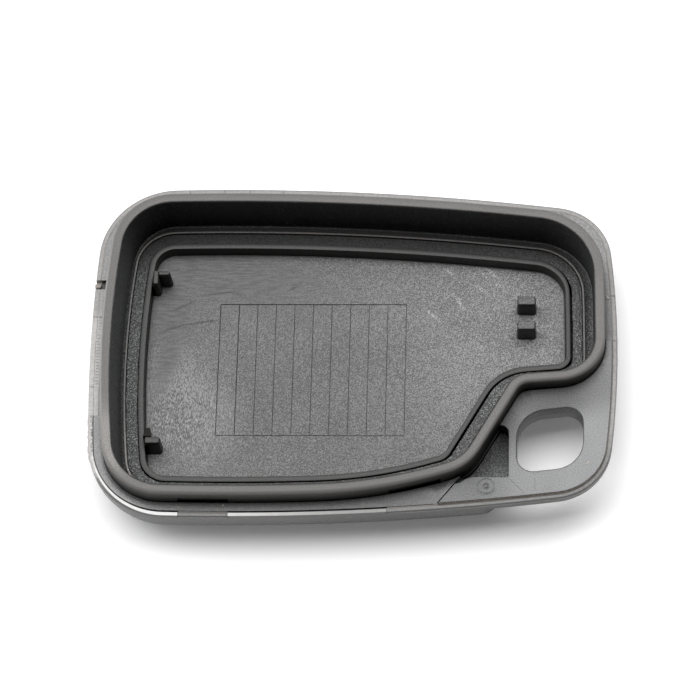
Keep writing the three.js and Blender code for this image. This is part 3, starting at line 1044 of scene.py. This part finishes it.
shell_depth = Depth(shell_line)
belly_depth = Depth(belly_line)


def under_z(point, depth):
    """Height of the cover's outside, depth in from the rim."""
    ease = min(1, depth / EASE_IN)
    tub = quarter(depth, BELLY_RUN, 0, CURVE_TOP_Z)
    belly = quarter(belly_depth(point), FLANK_RUN, 0, SEAT_Z)
    ear = quarter(depth, EAR_EDGE_RUN, EAR_UNDER_Z, CURVE_TOP_Z)
    body = soft_max(tub, belly, min(BELLY_EASE * ease, max(tub, belly)))
    return max(soft_min(body, ear, UNDER_EASE * ease), 0)


def in_trim(station):
    """Which edge trim takes a place on the rim."""
    point = station[0]
    if point.real < FRONT_CLIPS[0][0] and point.imag < TRIM_START_Y:
        return "corner"
    if FRONT_CLIPS[0][1] < point.real < FRONT_CLIPS[1][0] and point.imag < 0:
        return "front"
    return None


def within(value, span):
    return span[0] < value < span[1]


def on_worn(station):
    return facing(station, BROAD) and within(station[0].imag, WORN_Y)


def rim_top(station):
    """Top of the rim strip: lower under the trims, in the notch, the worn stretches and the fine ticks."""
    point = station[0]
    if in_trim(station):
        return RIM_Z - TRIM_H
    if facing(station, BROAD):
        if within(point.imag, NOTCH_Y):
            return RIM_Z - NOTCH_DROP
        if on_worn(station):
            ticked = min(abs(point.imag - y) for y in COMB_Y) < TICK_HALF
            return RIM_Z - RIM_LEDGE_DROP - (TICK_DEPTH if ticked else 0)
    ticks = [abs(point.real - x) for x in BACK_TICKS_X] if facing(station, BACK) else []
    ticks += [abs(point.imag - y) for y in NARROW_TICKS_Y] if facing(station, NARROW) else []
    return RIM_Z - TICK_DEPTH if ticks and min(ticks) < TICK_HALF else RIM_Z


def both_sides(values):
    return [v + side * TICK_HALF for v in values for side in (-1, 1)]


def rim_stations():
    """Stations of the shell's outline, closer together where the rim or the belly changes."""
    jag_count = int((TRIM_START_Y - JAGGED_TO_Y) / JAG_PITCH)
    jags = [TRIM_START_Y - JAG_PITCH * (k + 1) for k in range(jag_count)]
    stations = stopped(shell_line, FRONT, [*FRONT_CLIPS[0], FRONT_CLIPS[1][0], *FLANK_STOPS])
    stations = stopped(stations, BROAD, [TRIM_START_Y, *NOTCH_Y, *both_sides(COMB_Y), *jags])
    stations = stopped(stations, BACK, both_sides(BACK_TICKS_X))
    return stopped(stations, NARROW, both_sides(NARROW_TICKS_Y))


def wave(point):
    """Unevenness of the ledge's edge by the floor panel's rib."""
    place = point * WAVES_PER_MM
    return PANEL_GAP_WAVE * noise.noise(Vector((place.real, place.imag, 0.5)))


def outer_cover(pocket_loops, finishes):
    skin = Skin("smooth_skin")
    rim = rim_stations()
    tops = [rim_top(s) for s in rim]

    # Outside, from under the belly up to the rim
    turn = acos(1 - STRIP_IN / BELLY_RUN) / STRIP_ROWS
    rows = []
    for k in range(STRIP_ROWS, -1, -1):
        inset = BELLY_RUN * (1 - cos(turn * k))
        line = plan(rim, inset)
        rows.append(skin.row(line, [min(under_z(p, inset), top) for p, top in zip(line, tops)]))
    skin.stack(rows)
    strip = rows[-1:]
    for inset, drop in RIM_EDGE:
        flat = [inset > STRIP_W / 2 and on_worn(s) for s in rim]
        heights = [top if level else min(RIM_Z - drop, top) for top, level in zip(tops, flat)]
        strip.append(skin.row(plan(rim, inset), heights))
    skin.finish = "rim_strip"
    skin.stack(strip)

    # Bed of the seam
    bed_z = []
    for station, top in zip(rim, tops):
        deepest = SEAM_SHALLOW if by_ear(station) else SEAM_DEPTH
        deep = SEAM_SHALLOW + (deepest - SEAM_SHALLOW) * side_share(station, FRONT)
        bed_z.append(min(RIM_Z - deep, top - SEAM_SHALLOW))
    inner = plan(rim, STRIP_W + SEAM_BED_W)
    seat = skin.row(inner, SEAT_Z)
    skin.finish = "seam_bed"
    skin.stack([strip[-1], skin.row(plan(rim, STRIP_W), bed_z), skin.row(inner, bed_z), seat])

    # Pin in the notch
    skin.post(rectangle(NOTCH_PIN_AT, NOTCH_PIN_SIZE, NOTCH_PIN_R), RIM_Z - NOTCH_DROP, NOTCH_PIN_ROWS)

    # Underside inside that strip, with the belly's flank round the ear
    def under_row(points):
        return skin.row(points, [under_z(p, shell_depth(p)) for p in points])

    skin.finish = "smooth_skin"
    hole = plan(hole_line)
    hole_depth = Depth(hole_line)
    hole_low = under_row(hole)
    flank = [s for s in belly_line if s[0].real > FLANK_FROM_X and s[0].imag < 0]
    lines = [plan(shell_line, inset) for inset in TUB_LINES] + [plan(flank, inset) for inset in FLANK_LINES]
    points = [p for line in lines for p in line]
    spots = [p for p in points if shell_depth(p) > SPOTS_IN and hole_depth(p) < -HOLE_CLEAR]
    skin.fill([rows[0], hole_low], under_row(spots))

    # Ring hole, shoulder and room for the wall and the panel
    hole_top = skin.row(hole, SEAT_Z)
    skin.join(hole_low, hole_top)
    skin.finish = "coarse_grain"
    outside = -(WALL_T + COVER_GAP)
    inside = FOOT_W + COVER_GAP
    section = [
        (outside, SEAT_Z),
        (outside, FOOT_BASE_Z + FOOT_CHAMFER),
        (outside + FOOT_CHAMFER, FOOT_BASE_Z),
        (inside, FOOT_BASE_Z),
        *rounded(inside, LEDGE_Z),
    ]
    room = [skin.row(plan(cavity_line, inset), z) for inset, z in section]
    edge_in = [RIB_IN - PANEL_GAP - RIB_SLIM * side_share(s, NARROW) + wave(s[0]) for s in cavity_line]
    for inset, z in [*reversed(rounded(0, LEDGE_Z)), (0, SKIN_T)]:
        line = [p + (edge - inset) * inward for (p, inward), edge in zip(cavity_line, edge_in)]
        room.append(skin.row(line, z))
    pocket_tops = [skin.row(loop, SEAT_Z) for loop in pocket_loops]
    skin.fill([seat, room[0], hole_top, *pocket_tops])
    for loop, top in zip(pocket_loops, pocket_tops):
        low = skin.row(loop, POCKET_Z)
        skin.join(low, top)
        skin.fill([low])
    skin.stack(room)
    skin.fill([room[-1]])
    piece("cover_skin", skin, "outer_cover", "shell", finishes)


def band(x, span):
    """Loop from outside the broad end as far as x, between two values of y."""
    low, high = span
    return [complex(-LENGTH, low), complex(x, low), complex(x, high), complex(-LENGTH, high)]


def plate_loops():
    """Loops of the flange, of the ear plate and of what shows in its pocket."""
    slope = rect(1, radians(PLATE_END_SLOPE))
    inside = FLANK[0] + complex(-WALL_T, RIM_LONG)

    def ear_region(gap):
        start = PLATE_END_AT - 1j * slope * gap
        top = PLATE_TOP_Y - gap * PLATE_TOP_SHARE
        return [
            start - slope * RIM_LONG,
            complex(END_X + RIM_END, FRONT_Y - RIM_LONG),
            complex(END_X + RIM_END, top),
            complex(END_X - RIM_END - RUN_END_R, top),
            inside,
            start + slope * (FLANK[0].imag - RAMP[0].imag),
        ]

    outer = seam_plan(shell_line)
    inner = plan(cavity_line, -(WALL_T + WALL_GAP))
    ring = {
        "outer": outer,
        "inner": inner,
        "ear": ear_region(-PLATE_GAP),
        "notch": band(STRIP_W + NOTCH_DEPTH - END_X, NOTCH_Y),
        "worn": band(0, WORN_Y),
        "inland": plan(shell_line, STRIP_W + RIM_LEDGE_W),
    }

    def on_ring(own):
        return "outer" in own and own.isdisjoint({"inner", "ear"})

    def on_ledge(own):
        return "worn" in own and "inland" not in own

    flange = regions(ring, lambda own: on_ring(own) and "notch" not in own and not on_ledge(own))
    notch_floor = regions(ring, lambda own: on_ring(own) and "notch" in own)
    ledge = regions(ring, lambda own: on_ring(own) and "notch" not in own and on_ledge(own))
    opened = {"pocket": plan(pocket_line), "recess": PLATE_RECESS}
    plate = {"outer": outer, "inner": inner, "ear": ear_region(0), "hole": plan(hole_line), **opened}
    ear = regions(plate, lambda own: own == {"outer", "ear"})
    beside_wall = plan(cavity_line, -(WALL_T + COVER_GAP + POCKET_CLEAR))
    floor = {"ear": ear_region(0), "wall": beside_wall, **opened}
    pocket = regions(floor, lambda own: own & set(opened) and "ear" in own and "wall" not in own)
    foot = {"layer": plan(cavity_line, -WALL_T - LAYER_OUT), "inner": inner, "pocket": opened["pocket"]}
    layer = regions(foot, lambda own: own == {"layer", "pocket"})
    return flange, notch_floor, ledge, ear, pocket, layer


def outer_first(loops):
    return sorted(loops, key=lambda loop: -area(loop))


def ledge_comb():
    """Fine lines across the worn ledge at the broad end."""
    count = int((COMB_Y[1] - COMB_Y[0]) / COMB_PITCH)
    lines = [(COMB_Y[0] + COMB_PITCH * k, COMB_DEPTH) for k in range(1, count)]
    creases = []
    for y, depth in [*lines, (COMB_Y[1], TICK_DEPTH)]:
        edge = BROAD_END_R - END_X - sqrt(BROAD_END_R ** 2 - y ** 2)
        creases.append(([complex(edge + STRIP_W + end, y) for end in COMB_ENDS], COMB_HALF, depth))
    return creases


# Slivers of flash on the flange: from, to and half width
FLASH_SLIVERS = [
    (33.2 + 8.35j, 33.75 + 7.55j, 0.14),
    (-22.2 - 22.75j, -22.1 - 23.05j, 0.12),
    (-16.4 - 22.4j, -16.34 - 22.7j, 0.12),
]
SLIVER_TAPER = 0.3
SLIVER_ROWS = [(0, -0.1), (0, 0.08), (0.03, 0.12)]
FLANGE_ROUND = 0.04
LEDGE_ROUND = 0.03
LEDGE_CLEAR = 0.01


def rim_flange(loops, notch_floor, ledge_loops, finishes):
    skin = Skin("grained_flange")
    for loop in loops:
        skin.plate([loop], SEAT_Z, RIM_Z, [FLANGE_ROUND])
    # The notch's floor takes the darker rib finish: painted shade in the recess
    skin.finish = "smooth_rib"
    for loop in notch_floor:
        skin.plate([drawn_in(loop, LEDGE_CLEAR)], SEAT_Z, RIM_Z - NOTCH_DROP, [LEDGE_ROUND])
    skin.finish = "rim_strip"
    for loop in ledge_loops:
        top = RIM_Z - RIM_LEDGE_DROP
        skin.plate([drawn_in(loop, LEDGE_CLEAR)], SEAT_Z, top, [LEDGE_ROUND], ledge_comb())
    skin.finish = "pale_flash"
    for start, end, half in FLASH_SLIVERS:
        across = 1j * half * unit(end - start)
        thin = across * SLIVER_TAPER
        skin.post([start - thin, end - across, end + across, start + thin], RIM_Z, SLIVER_ROWS)
    piece("flange_ring", skin, "rim_flange", "shell", finishes)


# Marks on the ear: the gate's rings (radius, points, half width, depth) and nub, a fleck and insert lines
GATE_AT = 17.8 - 19.82j
GATE_RINGS = [(1.08, 32, 0.1, 0.045), (0.39, 16, 0.06, 0.035)]
GATE_NUB = (0.26, 16)
NUB_ROWS = [(0, -0.02), (0, 0.05), (0.1, 0.1)]
FLECK_AT = 30.94 - 16.5j
FLECK_SIZE = 0.55 + 0.22j
FLECK_R = 0.1
FLECK_TURN = 40
FLECK_ROWS = [(0, -0.02), (0, 0.02), (0.06, 0.04)]
WITNESS_HALF = 0.05
WITNESS_DEPTH = 0.03
WITNESS_LINES = [
    [20.75 - 18.72j, 22.75 - 20.8j],
    [24.12 - 18.68j, 24.13 - 20.38j],
]
EAR_ROUNDS = [0.12, 0.22]


def by_seam(point):
    """Finish of the ear plate's upright faces: painted light on those beside the seam."""
    return "warm_edge" if shell_depth(point) < 2 * STRIP_W else "fine_ear"


def ear_plate(loops, layer, finishes):
    # The layer in the pocket takes the raised wall's outside finish, darkest below the rim: painted shade
    skin = Skin("wall_side")
    for loop in layer:
        skin.post(loop, POCKET_Z, [(0, 0), (0, LAYER_TOP_Z - POCKET_Z)])
    skin.finish = "fine_ear"
    creases = [(path, WITNESS_HALF, WITNESS_DEPTH) for path in WITNESS_LINES]
    creases += [(circle(GATE_AT, radius, count), *size) for radius, count, *size in GATE_RINGS]
    skin.plate(outer_first(loops), SEAT_Z, EAR_TOP_Z, EAR_ROUNDS, creases, by_seam)
    skin.finish = "satin_wall"
    skin.post(circle(GATE_AT, *GATE_NUB), EAR_TOP_Z, NUB_ROWS)
    skin.finish = "pale_flash"
    level = rectangle(0, FLECK_SIZE, FLECK_R)
    skin.post([FLECK_AT + p * rect(1, radians(FLECK_TURN)) for p in level], EAR_TOP_Z, FLECK_ROWS)
    piece("ear_layer", skin, "ear_plate", "shell", finishes)


# Where the wall's finishes change: by its lip, on its foot, and at its top
LIP_NEAR = 0.01
FOOT_FROM = 0.2
FOOT_NEAR = 0.1
TOP_NEAR_INSIDE = 0.1
TOP_NEAR_OUTSIDE = 0.002


def cavity_wall(finishes):
    skin = Skin("satin_wall")
    stations = stopped(cavity_line, FRONT, [x for clip in FRONT_CLIPS for x in clip])
    stations = stopped(stations, BACK, BACK_CLIP)
    stations = stopped(stations, NARROW, END_CLIP)

    def in_clip(station):
        point = station[0]
        if facing(station, FRONT):
            return any(within(point.real, clip) for clip in FRONT_CLIPS)
        if facing(station, BACK):
            return within(point.real, BACK_CLIP)
        return facing(station, NARROW) and within(point.imag, END_CLIP)

    def section(station):
        recess = CLIP_DEPTH if in_clip(station) else 0
        lean = WALL_LEAN * max(station[1].real, 0) ** 2
        round_edge = WALL_ROUND + WALL_ROUND_FRONT * sqrt(max(station[1].imag, 0))
        return eased([
            (FOOT_W, FOOT_BASE_Z, 0),
            (-WALL_T + FOOT_CHAMFER, FOOT_BASE_Z, 0),
            (-WALL_T, FOOT_BASE_Z + FOOT_CHAMFER, 0),
            (-WALL_T, RIM_Z - CLIP_BELOW, 0),
            (-WALL_T + recess, RIM_Z - CLIP_BELOW + CLIP_STEP, 0),
            (-WALL_T + recess, RIM_Z + CLIP_H - CLIP_STEP, 0),
            (-WALL_T, RIM_Z + CLIP_H, 0),
            (-WALL_T, WALL_TOP_Z, round_edge),
            (0, WALL_TOP_Z, WALL_ROUND_IN),
            (lean, FOOT_Z, FOOT_ROUND),
            (FOOT_W - LIP_T, FOOT_Z, LIP_ROUND),
            (FOOT_W - LIP_T, FOOT_Z + LIP_RISE, LIP_ROUND),
            (FOOT_W, FOOT_Z + LIP_RISE, LIP_ROUND),
        ])

    def finish_at(inset, z):
        on_lip = inset > FOOT_W - LIP_T - LIP_NEAR
        if inset > FOOT_FROM and not on_lip and z < FOOT_Z + FOOT_NEAR:
            return "coarse_grain"
        outside = inset < -WALL_T / 2
        if on_lip or z > WALL_TOP_Z - (TOP_NEAR_OUTSIDE if outside else TOP_NEAR_INSIDE):
            return "satin_wall"
        return "wall_side" if outside else "cavity_side"

    skin.ring(stations, section, finish_at)
    piece("raised_wall", skin, "cavity_wall", "wall", finishes)


# Ruled rectangle on the floor panel
RULED_X = (-18.25, 6.75)
RULED_Y = (-10.16, 9.28)
RULED_COLUMNS = 10
RULED_GAP = 0.17
RULED_HALF = 0.06
RULED_DEPTH = 0.1
BOLD_LINES = (0, 1, -1)
BOLD_HALF = 0.075
BOLD_DEPTH = 0.16
# Pegs and hooks. A foot has insets and heights over the floor, a head has insets and depths under the top
POST_R = 0.32
PEG_AT = [placed(12.06, 29.02), placed(12.06, 32.67)]
PEG_SIZE = 2.5 + 1.4j
PEG_TOP = 5.5
PEG_FOOT = [(-0.12, 0), (-0.03, 0.04), (0, 0.15)]
PEG_HEAD = [(0.03, 0.3), (0.05, 0.16), (0.11, 0.05), (0.2, 0)]
HOOK_BARS = [
    (-26.87 + 11.8j, 0.85 + 2.2j, 5.8),
    (-25.8 + 12.4j, 1.65 + 0.75j, 5.8),
    (-26.33 - 12.22j, 2.1 + 1.1j, 5.6),
]
HOOK_FOOT = [(-0.2, -0.3), (-0.18, 0)]
HOOK_HEAD = [(0, 0.5), (0.03, 0.3), (0.09, 0.12), (0.16, 0.03), (0.26, 0)]
GUSSET = [-27.6 - 11.75j, -26.4 - 11.75j, -26.75 - 9.8j, -27.3 - 9.8j]
GUSSET_TOPS = [5.55, 5.55, 4.3, 4.3]
GUSSET_ROOT = 0.3
GUSSET_DRAFT = 0.1


def post_side(foot, head, top):
    return [(inset, FLOOR_Z + rise) for inset, rise in foot] + [(inset, top - drop) for inset, drop in head]


def ruled_lines():
    x0, x1 = RULED_X
    y0, y1 = RULED_Y
    columns = [x0 + (x1 - x0) * k / RULED_COLUMNS for k in range(RULED_COLUMNS + 1)]
    paths = [[complex(x, y0 + RULED_GAP), complex(x, y1 - RULED_GAP)] for x in columns]
    paths += [[complex(x0, y), complex(x1, y)] for y in RULED_Y]
    creases = [(path, RULED_HALF, RULED_DEPTH) for path in paths]
    for k in BOLD_LINES:
        creases[k] = (paths[k], BOLD_HALF, BOLD_DEPTH)
    return creases


def floor_panel(finishes):
    skin = Skin("smooth_rib")
    rib_in = RIB_IN + RIB_W
    foot_in = rib_in + RIB_DRAFT
    section = [
        (RIB_IN, SKIN_T),
        *rounded(RIB_IN, RIB_TOP_Z, edge=RIB_ROUND),
        *reversed(rounded(rib_in, RIB_TOP_Z, -1)),
        *((foot_in + reach, FLOOR_Z + rise) for reach, rise in RIB_FOOT),
    ]
    rows = []
    for inset, z in section:
        slim = RIB_SLIM if inset > RIB_IN + RIB_W / 2 else 0
        dip = RIB_DIP if z > LEDGE_Z else 0
        line = [s[0] + (inset - slim * side_share(s, NARROW)) * s[1] for s in cavity_line]
        rows.append(skin.row(line, [z - dip * side_share(s, FRONT) for s in cavity_line]))
    skin.stack(rows)
    skin.fill([rows[0]])
    peg_side = post_side(PEG_FOOT, PEG_HEAD, PEG_TOP)
    pegs = [skin.boss(rectangle(at, PEG_SIZE, POST_R), peg_side, "grained_peg") for at in PEG_AT]
    for centre, size, top in HOOK_BARS:
        skin.post(rectangle(centre, size, POST_R), 0, post_side(HOOK_FOOT, HOOK_HEAD, top))
    low = skin.row(GUSSET, FLOOR_Z - GUSSET_ROOT)
    high = skin.row([p + GUSSET_DRAFT * unit(sum(GUSSET) / len(GUSSET) - p) for p in GUSSET], GUSSET_TOPS)
    skin.join(low, high)
    skin.face(*low)
    skin.face(*high)
    skin.finish = "floor_grain"
    skin.fill([rows[-1], *pegs], *skin.creased(ruled_lines(), FLOOR_Z))
    piece("floor_tray", skin, "floor_panel", "panel", finishes)


JAGS_PER_MM = 2.3
JAG_MEAN = 0.6
JAG_SWING = 0.8
# Outer edge of the trim, as shares of the way in to its flat top and as drops, and its inner edge
TRIM_OUTSIDE = [(0, 0.2), (0.15, 0.11), (0.5, 0.03), (1, 0)]
TRIM_ROUND = 0.05
# Finishes of the trim's faces, from its outer side over the top and round
TRIM_FACES = ["smooth_skin"] + ["rim_strip"] * 3 + ["polished_trim"] + ["smooth_skin"] * 3


def edge_trim(which, name, node, finishes):
    skin = Skin("smooth_skin")
    rim = rim_stations()
    first = next(k for k, s in enumerate(rim) if in_trim(s) == which and in_trim(rim[k - 1]) != which)
    inside = [s for s in rim[first:] + rim[:first] if in_trim(s) == which]
    bed = RIM_Z - TRIM_H

    def section(station):
        start = POLISHED_SIDE + (POLISHED_FRONT - POLISHED_SIDE) * side_share(station, FRONT)
        outer = [(start * share, RIM_Z - drop) for share, drop in TRIM_OUTSIDE]
        inner = [(STRIP_W - TRIM_ROUND, RIM_Z), (STRIP_W, RIM_Z - TRIM_ROUND)]
        return [(0, bed), *outer, *inner, (STRIP_W, bed)]

    def jag(station):
        point = station[0]
        if not facing(station, BROAD) or point.imag < JAGGED_TO_Y:
            return 0
        swing = noise.noise(Vector((point.imag * JAGS_PER_MM, 0.5, 0.5)))
        return JAGGED_OUT * (JAG_MEAN + JAG_SWING * swing)

    sections = [section(s) for s in inside]
    rows = []
    for k, (_, z) in enumerate(sections[0]):
        line = []
        for (point, inward), places in zip(inside, sections):
            inset = places[k][0]
            line.append(point + (inset - (1 - inset / STRIP_W) * jag((point, inward))) * inward)
        rows.append(skin.row(line, z))
    for k, finish in enumerate(TRIM_FACES):
        skin.finish = finish
        skin.join(rows[k], rows[(k + 1) % len(rows)], closed=False)
    for k in (0, -1):
        skin.face(*(row[k] for row in rows))
    piece(name, skin, node, "shell", finishes)


# Stage

CAMERA_TARGET = (-0.86, 3.77, 0)
CAMERA_DISTANCE = 550.62
CAMERA_ELEVATION = 63.5
CAMERA_YAW = -6.9
CAMERA_ROLL = -6.1
IMAGE_WIDTH = 700
FOCAL_PIXELS = 4101.35
SENSOR = 36
CLIP_START = 0.01
BLACK_POINT = 0.002
# Lights: place, size and power
SOFTBOXES = {
    "softbox": ((-0.05, 0.24, 0.77), (1.5, 0.78), 14),
    "left_panel": ((-0.7, 0.1, 0.3), (0.5, 0.5), 2.0),
}
SKY_STRENGTH = 0.14
GROUND_HALF = 2.0
GROUND_Z = -0.00002
GROUND_GLOW = 0.1
WHITE = (1, 1, 1, 1)


def camera():
    yaw, tilt, roll = radians(CAMERA_YAW), radians(CAMERA_ELEVATION), radians(CAMERA_ROLL)
    forward = Vector((sin(yaw) * cos(tilt), cos(yaw) * cos(tilt), -sin(tilt)))
    level = Vector((cos(yaw), -sin(yaw), 0))
    upright = level.cross(forward)
    right = cos(roll) * level + sin(roll) * upright
    up = cos(roll) * upright - sin(roll) * level
    data = bpy.data.cameras.new("camera")
    data.sensor_width = SENSOR
    data.lens = FOCAL_PIXELS * SENSOR / IMAGE_WIDTH
    data.clip_start = CLIP_START
    obj = added("camera", data)
    place = (Vector(CAMERA_TARGET) - forward * CAMERA_DISTANCE) * MM
    turn = Matrix((right, up, -forward)).transposed().to_4x4()
    obj.matrix_world = Matrix.Translation(place) @ turn
    bpy.context.scene.camera = obj


def softbox(name, place, size, power):
    data = bpy.data.lights.new(name, "AREA")
    data.shape = "RECTANGLE"
    data.size, data.size_y = size
    data.energy = power
    obj = added(name, data)
    obj.location = place
    obj.rotation_euler = (-Vector(place)).to_track_quat("-Z", "Y").to_euler()


def studio():
    for name, setting in SOFTBOXES.items():
        softbox(name, *setting)
    world = bpy.data.worlds.new("studio")
    world.use_nodes = True
    sky = world.node_tree.nodes["Background"].inputs
    sky["Color"].default_value = WHITE
    sky["Strength"].default_value = SKY_STRENGTH
    bpy.context.scene.world = world
    view = bpy.context.scene.view_settings
    view.view_transform = "Standard"
    view.use_curve_mapping = True
    view.curve_mapping.black_level = (BLACK_POINT, BLACK_POINT, BLACK_POINT)


def ground():
    mesh = bpy.data.meshes.new("ground")
    signs = ((-1, -1), (1, -1), (1, 1), (-1, 1))
    corners = [(x * GROUND_HALF, y * GROUND_HALF, GROUND_Z) for x, y in signs]
    mesh.from_pydata(corners, [], [(0, 1, 2, 3)])
    lit = {"Emission Color": WHITE, "Emission Strength": GROUND_GLOW}
    mesh.materials.append(Finish("white_ground").done({"Base Color": grey(0.96), "Roughness": 0.9, **lit}))
    obj = added("ground", mesh)


def main():
    flange, notch_floor, ledge, ear, pocket, layer = plate_loops()
    finishes = all_finishes()
    outer_cover(pocket, finishes)
    rim_flange(flange, notch_floor, ledge, finishes)
    ear_plate(ear, layer, finishes)
    cavity_wall(finishes)
    floor_panel(finishes)
    edge_trim("corner", "trim_corner", "edge_trim_corner", finishes)
    edge_trim("front", "trim_front", "edge_trim_front", finishes)
    camera()
    studio()
    ground()


main()
